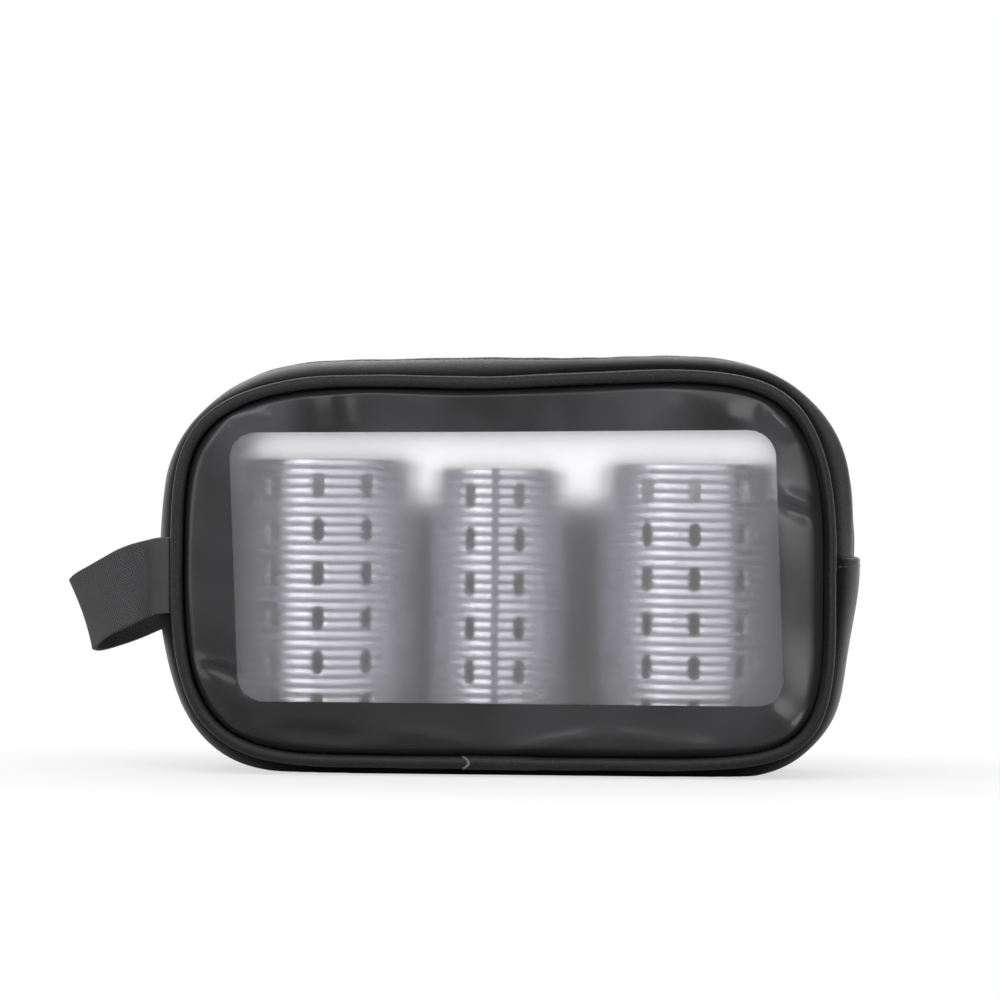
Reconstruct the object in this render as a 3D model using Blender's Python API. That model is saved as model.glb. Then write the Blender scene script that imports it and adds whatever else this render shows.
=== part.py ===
"""Self-grip thermal roller set in a frosted zip pouch.

Frame: X to the right as the pouch is seen from the front, Y to the back, Z up.
The origin is the middle of the flat base. Sizes are in millimetres and turn into metres as meshes are made.
"""

import math

import bmesh
import bpy
from mathutils import Vector

MM = 0.001
GAP = 0.3

# The seam line is the middle line of the piping: a superellipse. Each corner has a power across and
# one upwards, and a higher power keeps the edges that it belongs to straighter.
SEAM_HALF_WIDTH = 84.9
SEAM_HALF_HEIGHT = 50.4
SEAM_CENTRE_Z = 54.5
SEAM_Y = 25.0
CORNER_TOP_RIGHT = (7.8, 2.6)
CORNER_TOP_LEFT = (3.6, 4.25)
CORNER_BOTTOM_LEFT = (7.2, 2.85)
CORNER_BOTTOM_RIGHT = (8.0, 4.8)
LOOP_STATIONS = 48

# Panels: a thin sheet that swells past the seam plane, with a rounded window.
PANEL_WALL = 0.5
PANEL_BULGE = 2.0
PANEL_POWER = 6.0
PANEL_SQUARENESS = 4.0
PANEL_EDGE = 7.0
SHOULDER_IN = 3.2
SHOULDER_OUT = 0.4
BEND_BACK = 1.4
WINDOW_CENTRE_X = 1.0
WINDOW_CENTRE_Z = 54.6
WINDOW_WIDTH = 142.5
WINDOW_HEIGHT = 71.0
WINDOW_CORNER = 7.0
WINDOW_RINGS = (1.0, 0.72, 0.4)

# Inner pocket: a lining sheet that lies against the inside of the back panel, open at the top.
POCKET_INSET = 5.0
POCKET_WALL = 0.5
POCKET_STANDOFF = 1.0
POCKET_LOW_Z = 10.4
POCKET_TOP_Z = 72.5
POCKET_ROWS = 12
POCKET_COLUMNS = 24

# Seam: each layer lies inside the one before it, and all run back from the piping.
PIPING_RADIUS = 2.0
PIPING_SIDES = 8
TAIL_OUTER = 1.1
TAIL_INNER = 1.6
TURNED_OUTER = 1.9
TURNED_LENGTH = 6.0
SEAM_TAPE_OUTER = 2.7
SEAM_TAPE_WALL = 0.5
SEAM_TAPE_BACK = 1.9
SEAM_TAPE_WIDTH = 4.0

# Gusset: a strip that crowns outwards between the two seams, and is flat where the pouch stands.
GUSSET_WALL = 0.9
GUSSET_HALF = 22.4
GUSSET_BENDS = (19.5, 14.0, 6.0)
GUSSET_ROOT = 0.1
SIDE_CROWN = 6.6
TOP_CROWN = 4.1
BASE_CROWN = 5.8
CORNER_EASE = 0.2
CROWN_POWER = 3.0
FOLD_TOP_Z = 57.7
FOLD_BOTTOM_Z = 49.0
FOLD_RISE = 1.4
FOLD_RAMP = 3.0

# Zip: folded facings, tapes and coils. The track is level over the straight run at the top.
FACING_EDGE_Y = 5.5
FACING_FOLD = 3.5
FACING_FOLD_WALL = 1.9
ZIP_END_Z = 50.3
TRACK_DEPTH = 4.2
TRACK_HALF_RUN = 44.0
TAPE_WALL = 0.5
TAPE_INNER_Y = 0.9
TAPE_OUTER_Y = 9.3
COIL_INNER_Y = 0.7
COIL_OUTER_Y = 2.1
COIL_HEIGHT = 1.0
COIL_END_Z = 53.3
STOP_HALF_WIDTH = 2.4
STOP_LENGTH = 2.2
STOP_HEIGHT = 1.4

# Slider and pull. The pull turns about a bar that passes under the bail.
SLIDER_X = -38.0
SLIDER_LENGTH = 9.0
SLIDER_HALF_WIDTH = 3.5
PLATE_WALL = 0.7
POST_HALF_WIDTH = 0.35
POST_LENGTH = 1.6
POST_INSET = 0.5
JOIN_DEPTH = 0.3
BAIL_HALF_WIDTH = 0.7
BAIL_HALF_LENGTH = 2.6
BAIL_WALL = 0.7
PIVOT_RISE = 1.0
PULL_BAR = 0.5
PULL_HALF_WIDTH = 2.9
PULL_LENGTH = 21.0
PULL_EYE_HALF_WIDTH = 1.5
PULL_EYE_END = 3.9

# Wrist strap: webbing with its two ends in the seams and a loop that droops from them.
STRAP_WIDTH = 20.0
STRAP_WALL = 1.5
STRAP_ROOT_Z = 51.7
STRAP_PIVOT_OUT = 11.9
STRAP_PIVOT_Z = 49.0
STRAP_DROOP = math.radians(22.0)
# distance out from the seam line, depth, share of the drop from the seam to the pivot
STRAP_ROUTE = ((2.9, 22.2, 0.0), (6.3, 18.0, 0.2), (8.7, 14.5, 0.5), (10.7, 11.6, 1.0))
LOOP_REACH = 16.2
LOOP_HALF_SPAN = 11.3
LOOP_ROUNDNESS = 0.8
LOOP_STEPS = 17
LOOP_TOP_RELIEF = 1.65
LOOP_LOW_RELIEF = 6.0
LOOP_TIP = 1.2

# Rollers: a vented barrel with a hook sleeve, both open along the same slots.
ROLLER_LENGTH = 72.5
BARREL_WALL = 0.8
HOOK_DEPTH = 2.5
SLOT_ROWS = 6
SLOT_PITCH = 11.6
SLOT_WIDTH = 3.0
SLOT_LENGTH = 6.5
# name: radius over the hooks, X, Y, base height, slot columns, facets between columns, first column's turn
ROLLERS = {
    "left": (24.0, -47.4, 0.0, 10.5, 10, 1, math.radians(-97.2)),
    "middle": (18.0, -2.1, -5.0, 8.2, 7, 2, math.radians(-71.0)),
    "right": (24.0, 48.3, 0.0, 9.8, 10, 1, math.radians(-85.0)),
}

LEATHERETTE = (0.030, 0.030, 0.033)
PRINT_BLACK = (0.028, 0.028, 0.031)
FROST = (0.62, 0.62, 0.65)
TEXTILE = (0.022, 0.022, 0.024)
DARK_METAL = (0.10, 0.10, 0.11)
ALUMINIUM = (0.78, 0.78, 0.80)
HOOK_GREY = (0.30, 0.28, 0.33)


def clear_scene():
    for obj in list(bpy.data.objects):
        bpy.data.objects.remove(obj, do_unlink=True)


def make_material(name, colour, roughness, metallic=0.0, alpha=1.0):
    material = bpy.data.materials.new(name)
    material.use_nodes = True
    shader = material.node_tree.nodes["Principled BSDF"]
    shader.inputs["Base Color"].default_value = (*colour, 1.0)
    shader.inputs["Roughness"].default_value = roughness
    shader.inputs["Metallic"].default_value = metallic
    shader.inputs["Alpha"].default_value = alpha
    return material


def add_object(name, mesh, material, location=(0.0, 0.0, 0.0), sharp_angle=40.0):
    """Turns a bmesh in millimetres into a named object, with its faces pointing out."""
    bmesh.ops.recalc_face_normals(mesh, faces=mesh.faces)
    bmesh.ops.scale(mesh, vec=(MM, MM, MM), verts=mesh.verts)
    data = bpy.data.meshes.new(name)
    mesh.to_mesh(data)
    mesh.free()
    data.shade_smooth()
    data.set_sharp_from_angle(angle=math.radians(sharp_angle))
    data.materials.append(material)
    obj = bpy.data.objects.new(name, data)
    obj.location = Vector(location) * MM
    bpy.context.scene.collection.objects.link(obj)
    return obj


def loft(name, rings, material, closed, location=(0.0, 0.0, 0.0)):
    """Joins rings of points into one closed body. An open path gets a ladder of faces over each end."""
    mesh = bmesh.new()
    loops = [[mesh.verts.new(point) for point in ring] for ring in rings]
    count = len(rings[0])
    following = loops[1:] + loops[:1] if closed else loops[1:]
    for near, far in zip(loops, following):
        for i in range(count):
            j = (i + 1) % count
            mesh.faces.new((near[i], near[j], far[j], far[i]))
    if not closed:
        for loop in (loops[0], loops[-1]):
            for i in range(count // 2 - 1):
                mesh.faces.new((loop[i], loop[i + 1], loop[count - 2 - i], loop[count - 1 - i]))
    return add_object(name, mesh, material, location)


def corner_powers(angle):
    """Powers across and upwards of the corner that this angle is in."""
    corners = (CORNER_TOP_RIGHT, CORNER_TOP_LEFT, CORNER_BOTTOM_LEFT, CORNER_BOTTOM_RIGHT)
    return corners[int((angle % math.tau) // (math.pi / 2))]


def seam(angle):
    """Point (x, z) of the seam line and its outward normal, at an angle round the superellipse."""
    p, q = corner_powers(angle)
    c, s = math.cos(angle), math.sin(angle)
    across = math.copysign(abs(c) ** (2 / p), c)
    up = math.copysign(abs(s) ** (2 / q), s)
    gx = p * math.copysign(abs(across) ** (p - 1), across) / SEAM_HALF_WIDTH
    gz = q * math.copysign(abs(up) ** (q - 1), up) / SEAM_HALF_HEIGHT
    length = math.hypot(gx, gz)
    x = SEAM_HALF_WIDTH * across
    z = SEAM_CENTRE_Z + SEAM_HALF_HEIGHT * up
    return x, z, gx / length, gz / length


def angle_at_height(z, right):
    """Angle of the point at height z on the right or the left side."""
    up = (z - SEAM_CENTRE_Z) / SEAM_HALF_HEIGHT
    side = 0.0 if right else math.pi
    quadrant = side + (1 if (up > 0) == right else -1)
    _, q = corner_powers(quadrant)
    turn = math.copysign(math.asin(abs(up) ** (q / 2)), up)
    return turn if right else math.pi - turn


def angle_at_x(x):
    """Angle of the point at x along the top."""
    across = x / SEAM_HALF_WIDTH
    quadrant = math.pi / 2 - math.copysign(1, x)
    p, _ = corner_powers(quadrant)
    return math.acos(math.copysign(abs(across) ** (p / 2), across))


def at(angle, out, y):
    """Point at a distance out from the seam line, at depth y."""
    x, z, nx, nz = seam(angle)
    return Vector((x + nx * out, y, z + nz * out))


def loop_angles():
    return [math.tau * i / LOOP_STATIONS for i in range(LOOP_STATIONS)]


def arch_angles(low_z):
    """Angles over the top of the pouch, from low_z on the right to low_z on the left."""
    first = angle_at_height(low_z, right=True)
    last = angle_at_height(low_z, right=False)
    step = math.tau / LOOP_STATIONS
    between = [step * i for i in range(1, LOOP_STATIONS // 2)]
    run = [angle_at_x(TRACK_HALF_RUN), angle_at_x(-TRACK_HALF_RUN)]
    return sorted([first, last, *run, *between])


def crest(nx, nz):
    """Height of the gusset's crown over the seam line, where the outline faces (nx, nz)."""
    upright = TOP_CROWN if nz > 0 else BASE_CROWN
    plain = SIDE_CROWN * nx * nx + upright * nz * nz
    return plain * (1 - CORNER_EASE * (2 * nx * nz) ** 2)


def crown(y, height):
    return GUSSET_ROOT + (height - GUSSET_ROOT) * (1 - (abs(y) / GUSSET_HALF) ** CROWN_POWER)


def panel_swell(x, z):
    """How far a panel stands out past the seam plane."""
    across = abs(x) / SEAM_HALF_WIDTH
    up = abs(z - SEAM_CENTRE_Z) / SEAM_HALF_HEIGHT
    reach = (across**PANEL_SQUARENESS + up**PANEL_SQUARENESS) ** (1 / PANEL_SQUARENESS)
    return PANEL_BULGE * (1 - min(reach, 1.0) ** PANEL_POWER)


def window_point(angle, inset):
    """Point (x, z) of the window's outline, on the ray from its middle to the seam at this angle."""
    x, z, _, _ = seam(angle)
    ray = Vector((x - WINDOW_CENTRE_X, z - WINDOW_CENTRE_Z)).normalized()
    half = Vector((WINDOW_WIDTH / 2 - inset, WINDOW_HEIGHT / 2 - inset))
    reach = min(half[i] / max(abs(ray[i]), 1e-9) for i in range(2))
    radius = WINDOW_CORNER - inset
    core = half - Vector((radius, radius))
    corner = Vector((math.copysign(core.x, ray.x), math.copysign(core.y, ray.y)))
    if abs(ray.x) * reach > core.x and abs(ray.y) * reach > core.y:
        along = ray.dot(corner)
        reach = along + math.sqrt(along * along - corner.length_squared + radius * radius)
    return WINDOW_CENTRE_X + ray.x * reach, WINDOW_CENTRE_Z + ray.y * reach


def make_frame(name, side, material):
    """Border of a panel, from the edge turned in at the seam to the window. Side is -1 front, 1 back."""
    rings = []
    for angle in loop_angles():
        border = at(angle, -PANEL_EDGE, 0.0)
        border_y = SEAM_Y + panel_swell(border.x, border.z)
        window_x, window_z = window_point(angle, 0.0)
        window_y = SEAM_Y + panel_swell(window_x, window_z)
        inner = TURNED_OUTER + PANEL_WALL
        rings.append([
            at(angle, -TURNED_OUTER, side * (SEAM_Y - TURNED_LENGTH)),
            at(angle, -TURNED_OUTER, side * (SEAM_Y - BEND_BACK)),
            at(angle, -SHOULDER_IN, side * (SEAM_Y + SHOULDER_OUT)),
            Vector((border.x, side * border_y, border.z)),
            Vector((window_x, side * window_y, window_z)),
            Vector((window_x, side * (window_y - PANEL_WALL), window_z)),
            Vector((border.x, side * (border_y - PANEL_WALL), border.z)),
            at(angle, -SHOULDER_IN - PANEL_WALL, side * (SEAM_Y + SHOULDER_OUT - PANEL_WALL)),
            at(angle, -inner, side * (SEAM_Y - BEND_BACK)),
            at(angle, -inner, side * (SEAM_Y - TURNED_LENGTH)),
        ])
    return loft(name, rings, material, closed=True)


def make_window(name, side, material):
    """Frosted pane, flush with its frame."""
    mesh = bmesh.new()
    faces = []
    for depth in (0.0, PANEL_WALL):
        loops = []
        for scale in WINDOW_RINGS:
            loop = []
            for angle in loop_angles():
                edge_x, edge_z = window_point(angle, GAP)
                x = WINDOW_CENTRE_X + (edge_x - WINDOW_CENTRE_X) * scale
                z = WINDOW_CENTRE_Z + (edge_z - WINDOW_CENTRE_Z) * scale
                y = side * (SEAM_Y + panel_swell(x, z) - depth)
                loop.append(mesh.verts.new((x, y, z)))
            loops.append(loop)
        middle_y = side * (SEAM_Y + panel_swell(WINDOW_CENTRE_X, WINDOW_CENTRE_Z) - depth)
        middle = mesh.verts.new((WINDOW_CENTRE_X, middle_y, WINDOW_CENTRE_Z))
        faces.append((loops, middle))
    for loops, middle in faces:
        for outer, inner in zip(loops, loops[1:]):
            for i in range(LOOP_STATIONS):
                j = (i + 1) % LOOP_STATIONS
                mesh.faces.new((outer[i], outer[j], inner[j], inner[i]))
        for i in range(LOOP_STATIONS):
            mesh.faces.new((loops[-1][i], loops[-1][(i + 1) % LOOP_STATIONS], middle))
    shown, hidden = faces[0][0][0], faces[1][0][0]
    for i in range(LOOP_STATIONS):
        j = (i + 1) % LOOP_STATIONS
        mesh.faces.new((shown[i], shown[j], hidden[j], hidden[i]))
    return add_object(name, mesh, material)


def pocket_reach(z, side):
    """Half width of the pocket at a height: the seam's outline, drawn in by the inset."""
    up = (z - SEAM_CENTRE_Z) / (SEAM_HALF_HEIGHT - POCKET_INSET)
    corners = {(1, True): CORNER_TOP_RIGHT, (-1, True): CORNER_TOP_LEFT}
    corners.update({(1, False): CORNER_BOTTOM_RIGHT, (-1, False): CORNER_BOTTOM_LEFT})
    p, q = corners[(side, up > 0)]
    return (SEAM_HALF_WIDTH - POCKET_INSET) * (1 - abs(up) ** q) ** (1 / p)


def make_pocket(material):
    """Slip pocket behind the rollers, parallel to the back panel."""
    rings = []
    for row in range(POCKET_ROWS + 1):
        z = POCKET_LOW_Z + (POCKET_TOP_Z - POCKET_LOW_Z) * row / POCKET_ROWS
        first, last = -pocket_reach(z, -1), pocket_reach(z, 1)
        back, front = [], []
        for column in range(POCKET_COLUMNS + 1):
            x = first + (last - first) * column / POCKET_COLUMNS
            y = SEAM_Y + panel_swell(x, z) - POCKET_STANDOFF
            back.append(Vector((x, y, z)))
            front.append(Vector((x, y - POCKET_WALL, z)))
        rings.append(back + front[::-1])
    return loft("inner_pocket", rings, material, closed=False)


def make_piping(name, side, material):
    """Round bead with the flat tail that is caught in the seam."""
    start = math.acos(-TAIL_OUTER / PIPING_RADIUS)
    end = math.acos(-TAIL_INNER / PIPING_RADIUS) - math.tau
    turns = [start + (end - start) * i / PIPING_SIDES for i in range(PIPING_SIDES + 1)]
    section = [(PIPING_RADIUS * math.cos(t), PIPING_RADIUS * math.sin(t)) for t in turns]
    section += [(-TAIL_INNER, TURNED_LENGTH), (-TAIL_OUTER, TURNED_LENGTH)]
    rings = [[at(angle, out, side * (SEAM_Y - back)) for out, back in section] for angle in loop_angles()]
    return loft(name, rings, material, closed=True)


def make_seam_tape(name, side, material):
    """Flat binding tape over the raw edges inside."""
    start = SEAM_Y - SEAM_TAPE_BACK
    end = start - SEAM_TAPE_WIDTH
    inner = SEAM_TAPE_OUTER + SEAM_TAPE_WALL
    corners = ((SEAM_TAPE_OUTER, start), (inner, start), (inner, end), (SEAM_TAPE_OUTER, end))
    rings = [[at(angle, -out, side * y) for out, y in corners] for angle in loop_angles()]
    return loft(name, rings, material, closed=True)


def strip_ring(angle, profile, lift, wall):
    """Section of a gusset strip: its outer points, then its inner points back again, kept off the floor."""
    _, _, nx, nz = seam(angle)
    height = crest(nx, nz)
    outer, inner = [], []
    for y, extra in profile:
        out = crown(y, height) + lift
        top = at(angle, out, y)
        under = at(angle, out - wall - extra, y)
        sunk = Vector((0.0, 0.0, max(-top.z, 0.0)))
        outer.append(top + sunk)
        inner.append(under + sunk)
    return outer + inner[::-1]


def make_lower_gusset(material):
    """Side and bottom strip. Its ends are folded and lie over the ends of the zip strip."""
    half = (GUSSET_HALF, *GUSSET_BENDS)
    profile = [(-y, 0.0) for y in half] + [(y, 0.0) for y in half[::-1]]
    heights = (FOLD_TOP_Z, FOLD_BOTTOM_Z, FOLD_BOTTOM_Z - FOLD_RAMP)
    lifts = (FOLD_RISE, FOLD_RISE, 0.0)
    step = math.tau / LOOP_STATIONS
    left = [(angle_at_height(z, right=False), lift) for z, lift in zip(heights, lifts)]
    right = [(angle_at_height(z, right=True) + math.tau, lift) for z, lift in zip(heights, lifts)]
    below = [(math.pi + step * i, 0.0) for i in range(1, LOOP_STATIONS // 2)]
    rings = [strip_ring(angle, profile, lift, GUSSET_WALL) for angle, lift in left + below + right[::-1]]
    return loft("lower_gusset", rings, material, closed=False)


def make_facing(name, side, material):
    """Strip between a seam and the zip, with its edge folded under along the zip."""
    fold_y = FACING_EDGE_Y + FACING_FOLD
    extra = FACING_FOLD_WALL - GUSSET_WALL
    plain = [(side * y, 0.0) for y in (GUSSET_HALF, *GUSSET_BENDS) if y > fold_y]
    profile = plain + [(side * fold_y, extra), (side * FACING_EDGE_Y, extra)]
    rings = [strip_ring(angle, profile, 0.0, GUSSET_WALL) for angle in arch_angles(ZIP_END_Z)]
    return loft(name, rings, material, closed=False)


def track_point(angle, rise, y):
    """Point over the zip tape's outer face. The track is level along the top's straight run."""
    _, _, nx, nz = seam(angle)
    point = at(angle, crest(nx, nz) - TRACK_DEPTH + rise, y)
    over = at(angle, crest(nx, nz) - TRACK_DEPTH, y).z - track_level()
    return point - Vector((0.0, 0.0, max(over, 0.0)))


def track_level():
    """Height of the tape's outer face on the straight run."""
    heights = []
    for x in (-TRACK_HALF_RUN, TRACK_HALF_RUN):
        angle = angle_at_x(x)
        _, _, nx, nz = seam(angle)
        heights.append(at(angle, crest(nx, nz) - TRACK_DEPTH, 0.0).z)
    return min(heights)


def make_track_strip(name, side, inner_y, outer_y, low, high, end_z, material):
    """Tape or coil of one side of the zip, between two depths and two heights over the tape."""
    rings = []
    for angle in arch_angles(end_z):
        corners = ((low, inner_y), (low, outer_y), (high, outer_y), (high, inner_y))
        rings.append([track_point(angle, rise, side * y) for rise, y in corners])
    return loft(name, rings, material, closed=False)


def make_stop(name, right, material):
    """End stop across both coils, just past their ends."""
    top_z = COIL_END_Z - GAP
    rings = []
    for z in (top_z - STOP_LENGTH, top_z):
        angle = angle_at_height(z, right)
        low, high = GAP, GAP + STOP_HEIGHT
        corners = ((low, -1), (low, 1), (high, 1), (high, -1))
        rings.append([track_point(angle, rise, end * STOP_HALF_WIDTH) for rise, end in corners])
    return loft(name, rings, material, closed=False)


def add_box(mesh, low, high):
    """Adds a box between two corners to a bmesh."""
    x, y, z = zip(low, high)
    corners = [mesh.verts.new((x[i], y[j], z[k])) for i in (0, 1) for j in (0, 1) for k in (0, 1)]
    for face in ((0, 1, 3, 2), (4, 6, 7, 5), (0, 4, 5, 1), (2, 3, 7, 6), (0, 2, 6, 4), (1, 5, 7, 3)):
        mesh.faces.new([corners[i] for i in face])


def box_object(name, boxes, material, location):
    """One solid made of overlapping boxes."""
    first, *rest = boxes
    mesh = bmesh.new()
    add_box(mesh, *first)
    obj = add_object(name, mesh, material, location)
    for i, box in enumerate(rest):
        mesh = bmesh.new()
        add_box(mesh, *box)
        helper = add_object(f"{name}_piece_{i}", mesh, material, location)
        helper.hide_render = True
        helper.display_type = "WIRE"
        union = obj.modifiers.new(f"Join {i}", "BOOLEAN")
        union.operation = "UNION"
        union.object = helper
    return obj


def make_slider(material):
    """Two plates, a post between the coils and a bail on top. Heights are from the tape's outer face."""
    end = SLIDER_LENGTH / 2
    wide = SLIDER_HALF_WIDTH
    under = -TAPE_WALL - GAP
    over = COIL_HEIGHT + 2 * GAP
    top = over + PLATE_WALL
    bail_top = top + 2 * PIVOT_RISE
    bail, leg = BAIL_HALF_LENGTH, BAIL_WALL
    thin = BAIL_HALF_WIDTH
    sink = JOIN_DEPTH
    post, post_end = -end + POST_INSET, -end + POST_INSET + POST_LENGTH
    boxes = [
        ((-end, -wide, over), (end, wide, top)),
        ((-end, -wide, under - PLATE_WALL), (end, wide, under)),
        ((post, -POST_HALF_WIDTH, under - sink), (post_end, POST_HALF_WIDTH, over + sink)),
        ((-bail, -thin, top - sink), (-bail + leg, thin, bail_top)),
        ((bail - leg, -thin, top - sink), (bail, thin, bail_top)),
        ((-bail, -thin, bail_top - sink), (bail, thin, bail_top + leg)),
    ]
    slider = box_object("zip_slider", boxes, material, (SLIDER_X, 0.0, track_level()))
    return slider, top + PIVOT_RISE


def make_pull(pivot_rise, material):
    """Flat tab with an eye. Its origin is on the pivot bar."""
    bar, wide = PULL_BAR, PULL_HALF_WIDTH
    eye, eye_end = PULL_EYE_HALF_WIDTH, PULL_EYE_END
    boxes = [
        ((eye_end, -wide, -bar), (PULL_LENGTH, wide, bar)),
        ((-bar, -wide, -bar), (eye_end + bar, -eye, bar)),
        ((-bar, eye, -bar), (eye_end + bar, wide, bar)),
        ((-bar, -eye - bar, -bar), (bar, eye + bar, bar)),
    ]
    location = (SLIDER_X, 0.0, track_level() + pivot_rise)
    return box_object("zip_pull", boxes, material, location)


def ribbon_ring(x, y, normal, low, high):
    """Section of upright webbing at a point in plan, with its normal in plan."""
    half = STRAP_WALL / 2
    near = (x - normal.x * half, y - normal.y * half)
    far = (x + normal.x * half, y + normal.y * half)
    return [Vector((*near, low)), Vector((*near, high)), Vector((*far, high)), Vector((*far, low))]


def plan_normals(path):
    """Normals of a path in plan, from each point's neighbours."""
    normals = []
    for i in range(len(path)):
        before = Vector(path[max(i - 1, 0)])
        after = Vector(path[min(i + 1, len(path) - 1)])
        along = (after - before).normalized()
        normals.append(Vector((-along.y, along.x)))
    return normals


def make_strap_root(name, side, material):
    """End of the webbing, from the seam over the gusset to where the loop swings."""
    path = [(-SEAM_HALF_WIDTH - out, side * y) for out, y, _ in STRAP_ROUTE]
    drops = [share * (STRAP_ROOT_Z - STRAP_PIVOT_Z) for _, _, share in STRAP_ROUTE]
    rings = []
    for (x, y), normal, drop in zip(path, plan_normals(path), drops):
        middle = STRAP_ROOT_Z - drop
        rings.append(ribbon_ring(x, y, normal, middle - STRAP_WIDTH / 2, middle + STRAP_WIDTH / 2))
    return loft(name, rings, material, closed=False)


def make_strap_loop(material):
    """Loop of webbing. Its ends are cut back above and below the pivot, so that it can swing."""
    path = []
    for i in range(LOOP_STEPS):
        turn = math.pi * (i / (LOOP_STEPS - 1) - 0.5)
        x = -LOOP_REACH * math.cos(turn) ** LOOP_ROUNDNESS
        y = math.copysign(LOOP_HALF_SPAN * abs(math.sin(turn)) ** LOOP_ROUNDNESS, turn)
        path.append((x, y))
    rings = []
    for (x, y), normal in zip(path, plan_normals(path)):
        high = min(STRAP_WIDTH / 2, LOOP_TIP - x * LOOP_TOP_RELIEF)
        low = -min(STRAP_WIDTH / 2, LOOP_TIP - x * LOOP_LOW_RELIEF)
        rings.append(ribbon_ring(x, y, normal, low, high))
    pivot = (-SEAM_HALF_WIDTH - STRAP_PIVOT_OUT, 0.0, STRAP_PIVOT_Z)
    loop = loft("wrist_strap", rings, material, closed=False, location=pivot)
    loop.rotation_euler = (0.0, -STRAP_DROOP, 0.0)
    return loop


def slot_heights():
    """Heights of a roller's ends and of the ends of each row of slots, upwards."""
    first = (ROLLER_LENGTH - SLOT_PITCH * (SLOT_ROWS - 1)) / 2
    edges = [0.0]
    for row in range(SLOT_ROWS):
        middle = first + row * SLOT_PITCH
        edges += [middle - SLOT_LENGTH / 2, middle + SLOT_LENGTH / 2]
    return edges + [ROLLER_LENGTH]


def slot_turns(radius, columns, facets, turn):
    """Angles of the tube's edges. The first stretch of each column is the slot, and the rest are land."""
    half = SLOT_WIDTH / 2 / radius
    land = math.tau / columns - 2 * half
    turns = []
    for column in range(columns):
        start = turn + math.tau * column / columns - half
        turns.append(start)
        turns += [start + 2 * half + land * i / facets for i in range(facets)]
    return turns


def make_vented_tube(name, inner, outer, turns, period, material, location):
    """Upright tube with rows of slots through its wall."""
    heights = slot_heights()
    mesh = bmesh.new()
    skins = []
    for radius in (inner, outer):
        skins.append([
            [mesh.verts.new((radius * math.cos(t), radius * math.sin(t), z)) for t in turns] for z in heights
        ])
    rows, count = len(heights) - 1, len(turns)

    def is_slot(row, column):
        return 0 < row < rows and row % 2 == 1 and column % period == 0

    for row in range(rows):
        for i in range(count):
            j = (i + 1) % count
            ring = ((row, i), (row, j), (row + 1, j), (row + 1, i))
            if not is_slot(row, i):
                for skin in skins:
                    mesh.faces.new([skin[a][b] for a, b in ring])
                continue
            for (a, b), (c, d) in zip(ring, ring[1:] + ring[:1]):
                mesh.faces.new((skins[0][a][b], skins[0][c][d], skins[1][c][d], skins[1][a][b]))
    for row in (0, rows):
        for i in range(count):
            j = (i + 1) % count
            mesh.faces.new((skins[0][row][i], skins[0][row][j], skins[1][row][j], skins[1][row][i]))
    return add_object(name, mesh, material, location)


def make_rollers(metal, hooks):
    for name, (radius, x, y, base, columns, facets, turn) in ROLLERS.items():
        barrel = radius - HOOK_DEPTH
        turns = slot_turns(barrel, columns, facets, turn)
        place = (x, y, base)
        period = facets + 1
        make_vented_tube(f"roller_{name}_barrel", barrel - BARREL_WALL, barrel, turns, period, metal, place)
        make_vented_tube(f"roller_{name}_sleeve", barrel + GAP, radius, turns, period, hooks, place)


def make_zip(tape, coil, metal):
    for name, side in (("front", -1), ("back", 1)):
        make_track_strip(
            f"zip_tape_{name}", side, TAPE_INNER_Y, TAPE_OUTER_Y, -TAPE_WALL, 0.0, ZIP_END_Z, tape
        )
        low = GAP
        high = GAP + COIL_HEIGHT
        make_track_strip(f"zip_coil_{name}", side, COIL_INNER_Y, COIL_OUTER_Y, low, high, COIL_END_Z, coil)
    make_stop("zip_stop_left", False, metal)
    make_stop("zip_stop_right", True, metal)
    slider, pivot_rise = make_slider(metal)
    pull = make_pull(pivot_rise, metal)
    pull.parent = slider
    pull.location -= slider.location


def main():
    clear_scene()
    leatherette = make_material("leatherette", LEATHERETTE, 0.5)
    border = make_material("printed border", PRINT_BLACK, 0.35)
    frost = make_material("frosted sheet", FROST, 0.45, alpha=0.4)
    webbing = make_material("webbing", TEXTILE, 0.85)
    tape = make_material("zip tape", TEXTILE, 0.8)
    lining = make_material("lining", TEXTILE, 0.7)
    coil = make_material("zip coil", TEXTILE, 0.45)
    metal = make_material("dark metal", DARK_METAL, 0.3, metallic=1.0)
    barrel = make_material("aluminium", ALUMINIUM, 0.3, metallic=1.0)
    hooks = make_material("hooks", HOOK_GREY, 0.7)
    for name, side in (("front", -1), ("back", 1)):
        make_frame(f"{name}_frame", side, border)
        make_window(f"{name}_window", side, frost)
        make_piping(f"{name}_piping", side, leatherette)
        make_seam_tape(f"seam_tape_{name}", side, tape)
        make_facing(f"zip_facing_{name}", side, leatherette)
        make_strap_root(f"strap_root_{name}", side, webbing)
    make_pocket(lining)
    make_lower_gusset(leatherette)
    make_zip(tape, coil, metal)
    make_strap_loop(webbing)
    make_rollers(barrel, hooks)


main()
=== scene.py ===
"""Looks of a self-grip thermal roller set in its frosted zip pouch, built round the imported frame.

Sizes are in millimetres and turn into metres as meshes are made. X runs to the right as the front is seen,
Y to the back and Z up, with the origin in the middle of the flat base.
"""

import logging
import math
from dataclasses import dataclass
from enum import Enum
from functools import cached_property
from typing import Any, Callable, ClassVar

import bmesh
import bpy
import numpy as np
from mathutils import Matrix, Quaternion, Vector


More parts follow.
